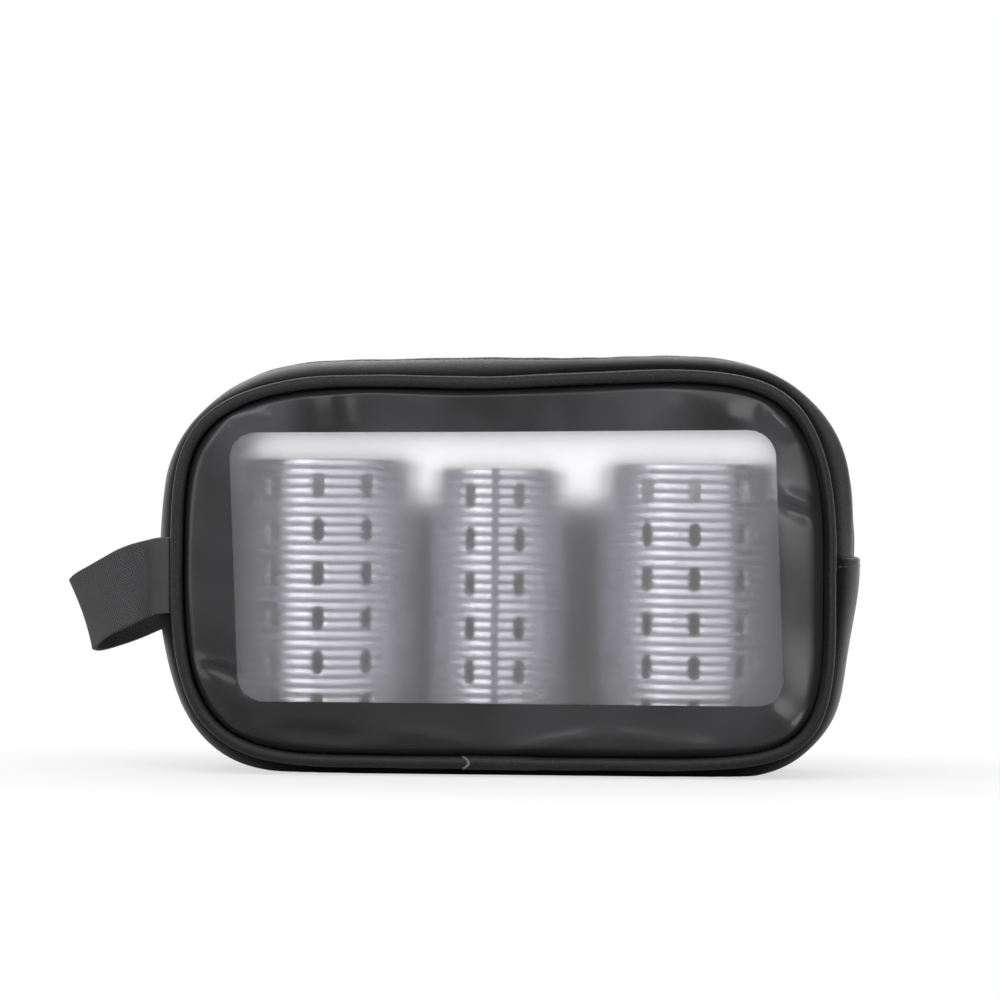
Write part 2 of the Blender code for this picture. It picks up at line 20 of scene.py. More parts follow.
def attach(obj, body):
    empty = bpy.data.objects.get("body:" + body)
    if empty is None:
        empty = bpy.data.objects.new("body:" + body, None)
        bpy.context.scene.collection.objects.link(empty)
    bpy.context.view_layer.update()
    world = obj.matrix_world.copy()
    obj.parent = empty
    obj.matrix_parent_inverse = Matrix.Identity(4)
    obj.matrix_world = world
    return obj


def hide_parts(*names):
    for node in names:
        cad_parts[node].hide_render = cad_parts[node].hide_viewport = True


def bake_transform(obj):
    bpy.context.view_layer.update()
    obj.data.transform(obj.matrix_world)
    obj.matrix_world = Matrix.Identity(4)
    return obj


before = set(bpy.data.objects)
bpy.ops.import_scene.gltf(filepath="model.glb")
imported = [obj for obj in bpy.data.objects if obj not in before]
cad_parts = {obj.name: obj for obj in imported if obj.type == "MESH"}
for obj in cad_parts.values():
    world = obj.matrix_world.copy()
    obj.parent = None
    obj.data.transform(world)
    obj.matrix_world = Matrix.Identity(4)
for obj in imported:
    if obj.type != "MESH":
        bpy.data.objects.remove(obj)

MM = 0.001
SEED = 7
SPECK_CORE = 0.6
SPECK_DRAW = 0.87
MATT = 0.9
TRACK_LEVEL = 103.638

Array = np.ndarray
Node = bpy.types.Node
Socket = bpy.types.NodeSocket
Piece = bpy.types.Object
Pair = tuple[float, float]
Triple = tuple[float, float, float]
Colour = Triple

log = logging.getLogger("roller_pouch")


class Side(Enum):
    """The two panels of the pouch, with the sign of their depth."""

    FRONT = -1
    BACK = 1

    @property
    def word(self) -> str:
        """Name of the side as it stands in the CAD nodes."""
        return self.name.lower()


class Ends(Enum):
    """How the ends of a loft are closed."""

    JOINED = "the last ring meets the first"
    LADDER = "faces across a section that runs out and back"
    FLAT = "one face at each end"


def smoothstep(low: float, high: float, value: Array) -> Array:
    """Eases numbers from 0 at low to 1 at high, which may be below low."""
    share = np.clip((value - low) / (high - low), 0.0, 1.0)
    return share * share * (3.0 - 2.0 * share)


@dataclass(frozen=True)
class Waver:
    """A slow waver that comes and goes along a line."""

    height: float
    pace: float
    swell: float
    start: float

    def at(self, run: Array) -> Array:
        """How far it stands at each length."""
        return self.height * np.sin(run / self.pace) * np.sin(run / self.swell + self.start)


@dataclass(frozen=True)
class Ripple:
    """Small ripples along a line, at a drifting pace."""

    height: float
    pace: float
    drift: float

    def at(self, run: Array) -> Array:
        """How far they stand at each length."""
        return self.height * np.sin(run / self.pace + 2.0 * np.sin(run / self.drift))


def arithmetic(operation: str, flipped: bool = False) -> Callable[["Value", Any], "Value"]:
    """Makes an operator of Value.

    Args:
        operation: name of the Math node's operation.
        flipped: whether the other term comes first.

    Returns:
        A method that adds the Math node.
    """

    def method(self: "Value", other: Any) -> "Value":
        """The operation's result on this value and another term."""
        return self.graph.math(operation, *((other, self) if flipped else (self, other)))

    return method


class Value:
    """A node's output socket that takes part in Python arithmetic."""

    def __init__(self, graph: "Graph", socket: Socket) -> None:
        """Keeps the socket and the graph that its arithmetic goes to."""
        self.graph = graph
        self.socket = socket

    __add__ = arithmetic("ADD")
    __radd__ = arithmetic("ADD", flipped=True)
    __sub__ = arithmetic("SUBTRACT")
    __rsub__ = arithmetic("SUBTRACT", flipped=True)
    __mul__ = arithmetic("MULTIPLY")
    __rmul__ = arithmetic("MULTIPLY", flipped=True)
    __truediv__ = arithmetic("DIVIDE")
    __lt__ = arithmetic("LESS_THAN")
    __gt__ = arithmetic("GREATER_THAN")

    def __abs__(self) -> "Value":
        """Size without sign."""
        return self.graph.math("ABSOLUTE", self)

    def of(self, operation: str, *others: Any) -> "Value":
        """One Math node on this value and further terms."""
        return self.graph.math(operation, self, *others)


class Graph:
    """A node tree under construction."""

    def __init__(self, tree: bpy.types.NodeTree) -> None:
        """Keeps the tree that nodes are added to, and the shader that a material's tree comes with."""
        self.tree = tree
        self.shader = tree.nodes.get("Principled BSDF")

    def add(self, kind: str, sockets: dict[str | int, Any] | None = None, **settings: Any) -> Node:
        """Adds one node.

        Args:
            kind: the node's type.
            sockets: plain values or links of its sockets.
            settings: the node's own settings, which are set first.

        Returns:
            The node.
        """
        node = self.tree.nodes.new(kind)
        for name, setting in settings.items():
            setattr(node, name, setting)
        self.feed_all(node, sockets or {})
        return node

    def feed(self, socket: Socket, term: Any) -> None:
        """Links a socket, or sets its plain value.

        Args:
            socket: the input.
            term: a Value, a socket or a plain value.
        """
        if isinstance(term, Value):
            term = term.socket
        if isinstance(term, Socket):
            self.tree.links.new(term, socket)
        else:
            socket.default_value = term

    def feed_all(self, node: Node, sockets: dict[str | int, Any]) -> None:
        """Links or sets several sockets of a node."""
        for key, term in sockets.items():
            self.feed(node.inputs[key], term)

    def value(self, node: Node, output: str | int = 0) -> Value:
        """One output of a node, ready for arithmetic."""
        return Value(self, node.outputs[output])

    def math(self, operation: str, *terms: Any) -> Value:
        """Adds one Math node on values and numbers."""
        return self.value(self.add("ShaderNodeMath", dict(enumerate(terms)), operation=operation))

    def split(self, vector: Any) -> list[Value]:
        """The three parts of a vector."""
        node = self.add("ShaderNodeSeparateXYZ", {0: vector})
        return [self.value(node, i) for i in range(3)]

    def join(self, x: Any, y: Any, z: Any) -> Socket:
        """A vector from its three parts."""
        return self.add("ShaderNodeCombineXYZ", {0: x, 1: y, 2: z}).outputs[0]

    def ease(self, value: Any, low: float, high: float) -> Value:
        """Eases a value from 0 at low to 1 at high, which may be below low."""
        sockets = {"Value": value, "From Min": low, "From Max": high}
        return self.value(self.add("ShaderNodeMapRange", sockets, interpolation_type="SMOOTHSTEP"))

    def mix(self, share: Any, first: Any, second: Any) -> Socket:
        """A colour from the first, at share 0, to the second, at share 1."""
        ends = {6 + i: (*c, 1.0) if isinstance(c, tuple) else c for i, c in enumerate((first, second))}
        return self.add("ShaderNodeMix", {"Factor": share, **ends}, data_type="RGBA").outputs[2]

    def place(self) -> Socket:
        """Object coordinates."""
        return self.add("ShaderNodeTexCoord").outputs["Object"]

    def attribute(self, name: str) -> Value:
        """A number that the piece carries at each of its points."""
        return self.value(self.add("ShaderNodeAttribute", attribute_name=name), "Fac")

    def noise(self, place: Any, scale: float, detail: float = 2.0) -> Value:
        """Cloudy noise from about 0 to 1."""
        sockets = {"Vector": place, "Scale": scale, "Detail": detail}
        return self.value(self.add("ShaderNodeTexNoise", sockets))

    def cells(self, place: Any, scale: float, feature: str) -> Node:
        """Voronoi cells of one feature."""
        return self.add("ShaderNodeTexVoronoi", {"Vector": place, "Scale": scale}, feature=feature)

    def coat(self, colour: Any, roughness: Any, height: Any, depth: float) -> None:
        """Feeds the shader its colour, roughness and a bump, whose height from 0 to 1 is depth mm deep."""
        bump = self.add("ShaderNodeBump", {"Height": height, "Distance": depth * MM, "Strength": 1.0})
        self.dress({"Base Color": colour, "Roughness": roughness, "Normal": bump.outputs[0]})

    def dress(self, sockets: dict[str | int, Any]) -> None:
        """Links or sets several sockets of the material's shader."""
        self.feed_all(self.shader, sockets)

    def cover(self, share: Any, over: Node) -> None:
        """Lays a second shader over the material's own, by a share from 0 to 1."""
        blend = self.add("ShaderNodeMixShader", {0: share, 1: self.shader.outputs[0], 2: over.outputs[0]})
        self.feed(self.tree.nodes["Material Output"].inputs["Surface"], blend.outputs[0])

    def specks(self, place: Any, spacing: float, size: float) -> Value:
        """Sparse round specks, such as dust.

        Args:
            place: coordinates.
            spacing: cell size in millimetres; about one cell in eight has a speck.
            size: a speck's radius in millimetres.

        Returns:
            1 on a speck and 0 elsewhere.
        """
        node = self.cells(place, 1.0 / (spacing * MM), "F1")
        drawn = self.value(self.add("ShaderNodeSeparateColor", {0: node.outputs["Color"]}))
        full, none = SPECK_CORE * size / spacing, size / spacing
        near = 1.0 - self.ease(self.value(node, "Distance"), full, none)
        return near * (drawn > SPECK_DRAW)


class GeometryTree(Graph):
    """A geometry node tree with named sizes."""

    def __init__(self, name: str, sizes: dict[str, float | int]) -> None:
        """Starts a tree.

        Args:
            name: the tree's name.
            sizes: its inputs, in metres, radians or whole numbers.
        """
        tree = bpy.data.node_groups.new(name, "GeometryNodeTree")
        tree.is_modifier = True
        super().__init__(tree)
        self.sizes = sizes
        for way in ("INPUT", "OUTPUT"):
            tree.interface.new_socket("Geometry", in_out=way, socket_type="NodeSocketGeometry")
        for label, size in sizes.items():
            kind = "NodeSocketInt" if isinstance(size, int) else "NodeSocketFloat"
            tree.interface.new_socket(label, in_out="INPUT", socket_type=kind)
        self.entry = tree.nodes.new("NodeGroupInput")
        self.exit = tree.nodes.new("NodeGroupOutput")

    def size(self, label: str) -> Value:
        """One named size."""
        return self.value(self.entry, label)

    def place_field(self) -> list[Value]:
        """The three parts of a point's place."""
        return self.split(self.add("GeometryNodeInputPosition").outputs[0])

    def move(self, geometry: Any, place: Any, selection: Any = True) -> Socket:
        """Puts points in new places: all of them, or those of a selection."""
        sockets = {"Geometry": geometry, "Position": place, "Selection": selection}
        return self.add("GeometryNodeSetPosition", sockets).outputs[0]

    def path(self) -> Socket:
        """The line that comes in, as a curve."""
        return self.add("GeometryNodeMeshToCurve", {0: self.entry.outputs["Geometry"]}).outputs[0]

    def circle(self, sides: int, radius: Any) -> Socket:
        """A round section or path."""
        sockets = {"Resolution": sides, "Radius": radius}
        return self.add("GeometryNodeCurvePrimitiveCircle", sockets).outputs[0]

    def sweep(self, path: Any, section: Any, caps: bool = False) -> Socket:
        """A section swept along a path."""
        sockets = {"Curve": path, "Profile Curve": section, "Fill Caps": caps}
        return self.add("GeometryNodeCurveToMesh", sockets).outputs[0]

    def repeat(self, path: Any, shape: Any, scale: Any = (1.0, 1.0, 1.0)) -> Socket:
        """Repeats a shape along a path, one for each step of the tree's Pitch.

        Args:
            path: the curve that is followed.
            shape: what is repeated.
            scale: size of each one.

        Returns:
            The instances' socket.
        """
        spread = {"Curve": path, "Length": self.size("Pitch")}
        points = self.add("GeometryNodeCurveToPoints", spread, mode="LENGTH")
        sockets = {name: points.outputs[name] for name in ("Points", "Rotation")}
        sockets.update({"Instance": shape, "Scale": scale})
        return self.add("GeometryNodeInstanceOnPoints", sockets).outputs[0]

    def keep(self, geometry: Any, name: str, number: Value) -> Socket:
        """Stores a number at each point of a geometry under a name."""
        sockets = {"Geometry": geometry, "Name": name, "Value": number}
        return self.add("GeometryNodeStoreNamedAttribute", sockets).outputs[0]

    def close(self, geometry: Any, finish: "Finish") -> None:
        """Ends the tree: instances become real and take a finish.

        Args:
            geometry: what the tree has made.
            finish: its surface.
        """
        real = self.add("GeometryNodeRealizeInstances", {0: geometry})
        smooth = self.add("GeometryNodeSetShadeSmooth", {"Geometry": real.outputs[0]})
        sockets = {"Geometry": smooth.outputs[0], "Material": finish.material()}
        self.feed(self.exit.inputs[0], self.add("GeometryNodeSetMaterial", sockets).outputs[0])

    def grow(self, name: str, line: Array, wall: float = 0.0) -> Piece:
        """Makes a piece from a path of points.

        Args:
            name: the piece's name.
            line: the path, in millimetres.
            wall: thickness given to the piece's faces, in millimetres, where they are a single skin.

        Returns:
            The piece, as plain mesh.
        """
        mesh = bpy.data.meshes.new(name)
        mesh.from_pydata((line * MM).tolist(), [(i, i + 1) for i in range(len(line) - 1)], [])
        piece = put(name, mesh)
        modifier = piece.modifiers.new(self.tree.name, "NODES")
        modifier.node_group = self.tree
        for item in self.tree.interface.items_tree:
            if item.in_out == "INPUT" and item.name in self.sizes:
                modifier[item.identifier] = self.sizes[item.name]
        if wall > 0.0:
            shell = piece.modifiers.new("Wall", "SOLIDIFY")
            shell.thickness = wall * MM
            shell.offset = -1.0
        settle_modifiers(piece)
        return piece


@dataclass(frozen=True)
class Finish:
    """A surface finish. Each kind paints its own nodes."""

    name: str
    made: ClassVar[dict[str, bpy.types.Material]] = {}

    def material(self) -> bpy.types.Material:
        """The finish's material, made once.

        Returns:
            The material.
        """
        if self.name not in self.made:
            material = bpy.data.materials.new(self.name)
            material.use_nodes = True
            self.paint(Graph(material.node_tree))
            self.made[self.name] = material
        return self.made[self.name]

    def paint(self, graph: Graph) -> None:
        """Sets the shader's sockets.

        Args:
            graph: the material's nodes.
        """
        raise NotImplementedError

    def paint_seam_shade(self, graph: Graph, colour: Colour) -> Value:
        """Paints shade: lays a dull dark shader over the finish where the piece's painted shade attribute is
        above 0.

        Args:
            graph: the material's nodes.
            colour: the colour of the painted shade.

        Returns:
            The piece's painted shade, from 0 in the open to 1 where full shade is painted in a seam, or -1 on
            a cut edge.
        """
        # Painted shade: a dark, dull shader mixed in by the per-point shade attribute.
        tuck = graph.attribute("tuck")
        painted_shade = {"Base Color": (*colour, 1.0), "Roughness": MATT, "Specular IOR Level": 0.0}
        graph.cover(tuck, graph.add("ShaderNodeBsdfPrincipled", painted_shade))
        return tuck


@dataclass(frozen=True)
class GrainedLeatherette(Finish):
    """Black coated fabric with a fine pebbled grain, with painted shade in its seams and paler cut edges."""

    colour: Colour = (0.011, 0.011, 0.012)
    worn: Colour = (0.027, 0.027, 0.029)
    # Colour of the painted shade in the seams.
    tucked: Colour = (0.009, 0.009, 0.009)
    cut: Colour = (0.20, 0.20, 0.20)
    roughness: float = 0.36
    patches: float = 0.14
    gloss: float = 0.16
    pebble: float = 0.6
    pebble_edge: float = 0.32
    pebble_share: float = 0.75
    pebble_shine: float = 0.06
    depth: float = 0.06
    fine_scale: float = 5200.0
    broad_scale: float = 70.0

    def paint(self, graph: Graph) -> None:
        """Sets the shader's sockets.

        Args:
            graph: the material's nodes.
        """
        place = graph.place()
        edge = graph.value(graph.cells(place, 1.0 / (self.pebble * MM), "DISTANCE_TO_EDGE"))
        pebbles = graph.ease(edge, 0.0, self.pebble_edge)
        fine = graph.noise(place, self.fine_scale, 3.0)
        broad = graph.noise(place, self.broad_scale, 3.0)
        # Painted shade in the seams; where the same attribute is -1, on a cut edge, the paler cut colour
        # shows.
        tuck = self.paint_seam_shade(graph, self.tucked)
        graph.dress({"Specular IOR Level": self.gloss})
        open_face = graph.mix(broad * pebbles, self.colour, self.worn)
        rough = self.roughness + self.patches * (broad - 0.5) - self.pebble_shine * pebbles
        height = pebbles * self.pebble_share + fine * (1.0 - self.pebble_share)
        graph.coat(graph.mix(tuck * -1.0, open_face, self.cut), rough, height, self.depth)


@dataclass(frozen=True)
class PrintedSheet(Finish):
    """Smooth black print on a soft plastic sheet, with a painted sheen in soft patches, stronger towards the
    top, and painted shade in the groove.
    """

    colour: Colour = (0.005, 0.005, 0.006)
    # Colour of the painted sheen that lightens the print in soft patches.
    rubbed: Colour = (0.050, 0.050, 0.054)
    dust: Colour = (0.35, 0.35, 0.36)
    dust_spacing: float = 5.0
    dust_size: float = 0.12
    dust_share: float = 0.6
    # Colour of the painted shade in the groove beside the piping.
    tucked: Colour = (0.02, 0.02, 0.02)
    roughness: float = 0.24
    patches: float = 0.10
    gloss: float = 0.36
    depth: float = 0.006
    fine_scale: float = 2600.0
    broad_scale: float = 45.0
    # Painted sheen: noise patches, weaker low down and full from 100 mm up.
    sheen_scale: float = 24.0
    sheen_range: Pair = (0.38, 0.72)
    sheen_low: float = 0.35
    sheen_rise: Pair = (0.04, 0.1)

    def paint(self, graph: Graph) -> None:
        """Sets the shader's sockets.

        Args:
            graph: the material's nodes.
        """
        place = graph.place()
        broad = graph.noise(place, self.broad_scale, 3.0)
        fine = graph.noise(place, self.fine_scale)
        dust = graph.specks(place, self.dust_spacing, self.dust_size)
        # Painted sheen, lighter towards the top.
        _, _, z = graph.split(place)
        sheen_towards_top = self.sheen_low + (1.0 - self.sheen_low) * graph.ease(z, *self.sheen_rise)
        painted_sheen = graph.ease(graph.noise(place, self.sheen_scale), *self.sheen_range) * sheen_towards_top
        printed = graph.mix(painted_sheen, self.colour, self.rubbed)
        # Painted shade in the groove beside the piping.
        self.paint_seam_shade(graph, self.tucked)
        graph.dress({"Specular IOR Level": self.gloss})
        rough = self.roughness + self.patches * (broad - 0.5) + 0.2 * dust
        graph.coat(graph.mix(dust * self.dust_share, printed, self.dust), rough, fine, self.depth)


@dataclass(frozen=True)
class FrostedSheet(Finish):
    """Soft plastic sheet with a frosted face, which blurs what stands away from it."""

    colour: Colour = (0.985, 0.98, 0.995)
    dust: Colour = (1.0, 1.0, 1.0)
    dust_spacing: float = 6.0
    dust_size: float = 0.12
    roughness: float = 0.37
    patches: float = 0.06
    index: float = 1.36
    clear: float = 0.955
    depth: float = 0.004
    fine_scale: float = 1500.0
    broad_scale: float = 38.0

    def paint(self, graph: Graph) -> None:
        """Sets the shader's sockets.

        Args:
            graph: the material's nodes.
        """
        place = graph.place()
        broad = graph.noise(place, self.broad_scale, 3.0)
        fine = graph.noise(place, self.fine_scale)
        dust = graph.specks(place, self.dust_spacing, self.dust_size)
        graph.dress({"Transmission Weight": self.clear, "IOR": self.index})
        rough = self.roughness + self.patches * (broad - 0.5) + 0.3 * dust
        graph.coat(graph.mix(dust, self.colour, self.dust), rough, fine, self.depth)


@dataclass(frozen=True)
class WovenBand(Finish):
    """Black band in a herringbone weave, on a UV map in millimetres along and across."""

    colour: Colour = (0.012, 0.012, 0.013)
    raised: Colour = (0.060, 0.060, 0.064)
    rib: float = 0.8
    panel: float = 1.3
    depth: float = 0.16
    roughness: float = 0.72
    fuzz_scale: float = 4200.0

    def wave(self, place: Value, pitch: float) -> Value:
        """Ridges from 0 to 1 at a pitch."""
        return (place * (math.tau / pitch)).of("SINE") * 0.5 + 0.5

    def paint(self, graph: Graph) -> None:
        """Sets the shader's sockets.

        Args:
            graph: the material's nodes.
        """
        along, across, _ = graph.split(graph.add("ShaderNodeTexCoord").outputs["UV"])
        slant = (across / self.panel).of("PINGPONG", 1.0) * self.panel
        ridge = self.wave(along + slant, self.rib)
        yarn = self.wave(along - slant, self.rib * 0.5)
        fuzz = graph.noise(graph.place(), self.fuzz_scale, 3.0)
        height = ridge * 0.65 + yarn * 0.2 + fuzz * 0.15
        rough = self.roughness - 0.15 * ridge + 0.1 * fuzz
        graph.coat(graph.mix(height * height, self.colour, self.raised), rough, height, self.depth)


@dataclass(frozen=True)
class PlainWeave(Finish):
    """Fine plain-woven black cloth."""

    colour: Colour = (0.010, 0.010, 0.011)
    raised: Colour = (0.045, 0.045, 0.048)
    thread: float = 0.42
    skew: float = 0.02
    weave_share: float = 0.8
    depth: float = 0.08
    roughness: float = 0.7
    fuzz_scale: float = 3800.0

    def paint(self, graph: Graph) -> None:
        """Sets the shader's sockets.

        Args:
            graph: the material's nodes.
        """
        place = graph.place()
        x, y, z = graph.split(place)
        turns = math.pi / (self.thread * MM)
        across = ((x + z * self.skew) * turns).of("SINE")
        along = ((z + y) * turns).of("SINE")
        fuzz = graph.noise(place, self.fuzz_scale, 3.0)
        height = abs(across * along) * self.weave_share + fuzz * (1.0 - self.weave_share)
        rough = self.roughness + 0.2 * (fuzz - 0.5)
        graph.coat(graph.mix(height, self.colour, self.raised), rough, height, self.depth)


@dataclass(frozen=True)
class MouldedPlastic(Finish):
    """Plain extruded plastic: zip coils, hooks and thread."""

    colour: Colour = (0.012, 0.012, 0.013)
    lighter: Colour = (0.022, 0.022, 0.024)
    roughness: float = 0.4
    patches: float = 0.16
    depth: float = 0.012
    fine_scale: float = 3000.0
    broad_scale: float = 180.0

    def paint(self, graph: Graph) -> None:
        """Sets the shader's sockets.

        Args:
            graph: the material's nodes.
        """
        place = graph.place()
        broad = graph.noise(place, self.broad_scale)
        fine = graph.noise(place, self.fine_scale)
        rough = self.roughness + self.patches * (fine - 0.5)
        graph.coat(graph.mix(broad, self.colour, self.lighter), rough, fine, self.depth)


@dataclass(frozen=True)
class DarkMetal(Finish):
    """Cast zip metal with a dark plated skin, brighter where it rubs."""

    colour: Colour = (0.045, 0.045, 0.05)
    rubbed: Colour = (0.12, 0.12, 0.13)
    rub_range: Pair = (0.58, 0.78)
    rub_shine: float = 0.08
    roughness: float = 0.42
    patches: float = 0.2
    depth: float = 0.02
    fine_scale: float = 2400.0
    broad_scale: float = 260.0

    def paint(self, graph: Graph) -> None:
        """Sets the shader's sockets.

        Args:
            graph: the material's nodes.
        """
        place = graph.place()
        fine = graph.noise(place, self.fine_scale, 3.0)
        rubbed = graph.ease(graph.noise(place, self.broad_scale, 3.0), *self.rub_range)
        graph.dress({"Metallic": 1.0})
        rough = self.roughness + self.patches * (fine - 0.5) - self.rub_shine * rubbed
        graph.coat(graph.mix(rubbed, self.colour, self.rubbed), rough, fine, self.depth)


@dataclass(frozen=True)
class RibbedFoil(Finish):
    """Bright aluminium foil with ribs. The valleys, where the hook rows stand, are dull and carry painted
    shade.
    """

    colour: Colour = (0.95, 0.95, 0.96)
    scuffed: Colour = (0.86, 0.86, 0.89)
    # Colour of the painted shade in the valleys between the ribs.
    painted_valley_shade: Colour = (0.24, 0.23, 0.27)
    crest_range: Pair = (0.18, 0.55)
    valley_metal: float = 0.2
    valley_dull: float = 0.25
    roughness: float = 0.3
    patches: float = 0.12
    depth: float = 0.02
    broad_scale: float = 140.0
    drawn_scale: float = 900.0
    drawn_stretch: Pair = (0.2, 6.0)

    def paint(self, graph: Graph) -> None:
        """Sets the shader's sockets.

        Args:
            graph: the material's nodes.
        """
        place = graph.place()
        crest = graph.ease(graph.attribute("rib"), *self.crest_range)
        x, y, z = graph.split(place)
        wide, tall = self.drawn_stretch
        drawn = graph.noise(graph.join(x * wide, y * wide, z * tall), self.drawn_scale)
        foil = graph.mix(graph.noise(place, self.broad_scale, 3.0), self.colour, self.scuffed)
        graph.dress({"Metallic": self.valley_metal + (1.0 - self.valley_metal) * crest})
        rough = self.roughness + self.patches * (drawn - 0.5) + self.valley_dull * (1.0 - crest)
        # Painted shade in the valleys, where the rib share is low.
        graph.coat(graph.mix(crest, self.painted_valley_shade, foil), rough, drawn, self.depth)


@dataclass(frozen=True)
class StudioPaper(Finish):
    """White floor: as bright as the backdrop to the camera, with the object's shadow on it."""

    colour: Colour = (0.86, 0.86, 0.86)
    tooth: float = 0.97
    tooth_scale: float = 900.0
    gloss: float = 0.1
    shadow_share: float = 0.35
    near: float = 0.045
    far: float = 0.13
    stretch: float = 0.4

    def paint(self, graph: Graph) -> None:
        """Sets the shader's sockets and lays a white glow over them.

        Args:
            graph: the material's nodes.
        """
        place = graph.place()
        shade = tuple(c * self.tooth for c in self.colour)
        paper = graph.mix(graph.noise(place, self.tooth_scale), shade, self.colour)
        graph.dress({"Base Color": paper, "Roughness": MATT, "Specular IOR Level": self.gloss})
        glow = graph.add("ShaderNodeEmission", {"Color": (1.0, 1.0, 1.0, 1.0), "Strength": 1.0})
        x, y, _ = graph.split(place)
        away = graph.ease((x * x * self.stretch + y * y).of("SQRT"), self.near, self.far)
        path = graph.add("ShaderNodeLightPath")
        seen = (seen_ray(graph) * away).of("MAXIMUM", graph.value(path, "Is Camera Ray"))
        graph.cover(seen * (1.0 - self.shadow_share * (1.0 - away)), glow)


def seen_ray(graph: Graph) -> Value:
    """1 for a ray that shows the background: from the camera, off a gloss or through a sheet.

    Args:
        graph: the nodes that it is added to.

    Returns:
        The ray's value.
    """
    path = graph.add("ShaderNodeLightPath")
    bent = graph.value(path, "Is Transmission Ray").of("MAXIMUM", graph.value(path, "Is Glossy Ray"))
    return graph.value(path, "Is Camera Ray").of("MAXIMUM", bent)


LEATHERETTE = GrainedLeatherette("grained leatherette")
PRINT = PrintedSheet("printed sheet")
FROST = FrostedSheet("frosted window sheet")
WEBBING = WovenBand("herringbone webbing")
TAPE = PlainWeave("woven zip tape", raised=(0.07, 0.07, 0.074))
LINING = PlainWeave("woven lining", thread=0.3)
COIL = MouldedPlastic("zip coil plastic")
THREAD = MouldedPlastic("sewing thread", (0.014, 0.014, 0.015), (0.05, 0.05, 0.052), roughness=0.6)
HOOKS = MouldedPlastic("hook plastic", (0.62, 0.60, 0.68), (0.78, 0.76, 0.84), roughness=0.45)
METAL = DarkMetal("dark plated metal")
FOIL = RibbedFoil("ribbed foil")
PAPER = StudioPaper("studio paper")


def quads(rows: int, columns: int, loop_rows: bool, loop_columns: bool) -> Array:
    """Faces of a grid of points.

    Args:
        rows: number of rows.
        columns: number of points in a row.
        loop_rows: whether the last row joins the first.
        loop_columns: whether each row closes on itself.

    Returns:
        Four point numbers for each face.
    """
    index = np.arange(rows * columns).reshape(rows, columns)
    if loop_rows:
        index = np.vstack((index, index[:1]))
    if loop_columns:
        index = np.hstack((index, index[:, :1]))
    corners = (index[:-1, :-1], index[:-1, 1:], index[1:, 1:], index[1:, :-1])
    return np.stack([corner.ravel() for corner in corners], axis=1)


def put(name: str, data: bpy.types.ID) -> Piece:
    """Adds an object to the scene.

    Args:
        name: its name.
        data: its mesh, lamp or camera.

    Returns:
        The object.
    """
    thing = bpy.data.objects.new(name, data)
    bpy.context.scene.collection.objects.link(thing)
    return thing


def make_piece(
    name: str,
    points: Array,
    faces: list[list[int]],
    finish: Finish,
    uv: Array | None = None,
    tuck: Array | None = None,
    sharp: float = 40.0,
) -> Piece:
    """Makes a mesh piece with its faces pointing out.

    Args:
        name: the piece's name.
        points: places in millimetres.
        faces: point numbers of each face.
        finish: its surface.
        uv: one UV place for each point, where the finish needs it.
        tuck: painted shade at each point, from 0 in the open to 1 in a seam, or -1 on a cut edge, where the
            finish needs it.
        sharp: angle in degrees over which an edge stays sharp.

    Returns:
        The piece.
    """
    mesh = bpy.data.meshes.new(name)
    mesh.from_pydata((points.reshape(-1, 3) * MM).tolist(), [], [list(map(int, f)) for f in faces])
    if uv is not None:
        layer = mesh.uv_layers.new(name="Weave")
        corner = np.zeros(len(mesh.loops), dtype=int)
        mesh.loops.foreach_get("vertex_index", corner)
        layer.data.foreach_set("uv", uv.reshape(-1, 2)[corner].astype(np.float32).ravel())
    # Stores the painted seam shade, and -1 on cut edges, at each point.
    if tuck is not None:
        depth = mesh.attributes.new("tuck", "FLOAT", "POINT")
        depth.data.foreach_set("value", tuck.astype(np.float32).ravel())
    form = bmesh.new()
    form.from_mesh(mesh)
    bmesh.ops.recalc_face_normals(form, faces=form.faces)
    form.to_mesh(mesh)
    form.free()
    mesh.shade_smooth()
    mesh.set_sharp_from_angle(angle=math.radians(sharp))
    mesh.materials.append(finish.material())
    return put(name, mesh)


def settle_modifiers(piece: Piece) -> None:
    """Turns a piece's modifiers into plain mesh.

    Args:
        piece: the piece, which keeps its name.
    """
    graph = bpy.context.evaluated_depsgraph_get()
    mesh = bpy.data.meshes.new_from_object(piece.evaluated_get(graph), depsgraph=graph)
    mesh.name = piece.name
    piece.modifiers.clear()
    piece.data = mesh


def ladder_caps(rows: int, columns: int) -> list[list[int]]:
    """Faces over the two ends of a loft whose section is an outer run and then the inner run back.

    Args:
        rows: number of sections.
        columns: number of points in a section.

    Returns:
        Point numbers of each face.
    """
    caps = []
    for first in (0, (rows - 1) * columns):
        for i in range(columns // 2 - 1):
            caps.append([first + i, first + i + 1, first + columns - 2 - i, first + columns - 1 - i])
    return caps


def loft(name: str, rings: Array, finish: Finish, ends: Ends, **options: Any) -> Piece:
    """Joins section rings into one closed piece.

    Args:
        name: the piece's name.
        rings: places, by station and by point of the section.
        finish: its surface.
        ends: how its two ends are closed.
        options: further arguments of make_piece.

    Returns:
        The piece.
    """
    rows, columns = rings.shape[:2]
    faces = quads(rows, columns, ends is Ends.JOINED, True).tolist()
    if ends is Ends.LADDER:
        faces += ladder_caps(rows, columns)
    elif ends is Ends.FLAT:
        faces += [list(range(columns)), list(range((rows - 1) * columns, rows * columns))]
    return make_piece(name, rings, faces, finish, **options)


def mount(piece: Piece, body: str, slot: str, *nodes: str) -> None:
    """Rides a piece on a body in place of its CAD nodes.

    Args:
        piece: the piece.
        body: the CAD body that it moves with.
        slot: the name of a material slot, which is not used.
        nodes: the CAD nodes that it stands for.
    """
    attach(piece, body)
    if nodes:
        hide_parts(*nodes)
    log.info("%s rides on %s with %d faces", piece.name, body, len(piece.data.polygons))


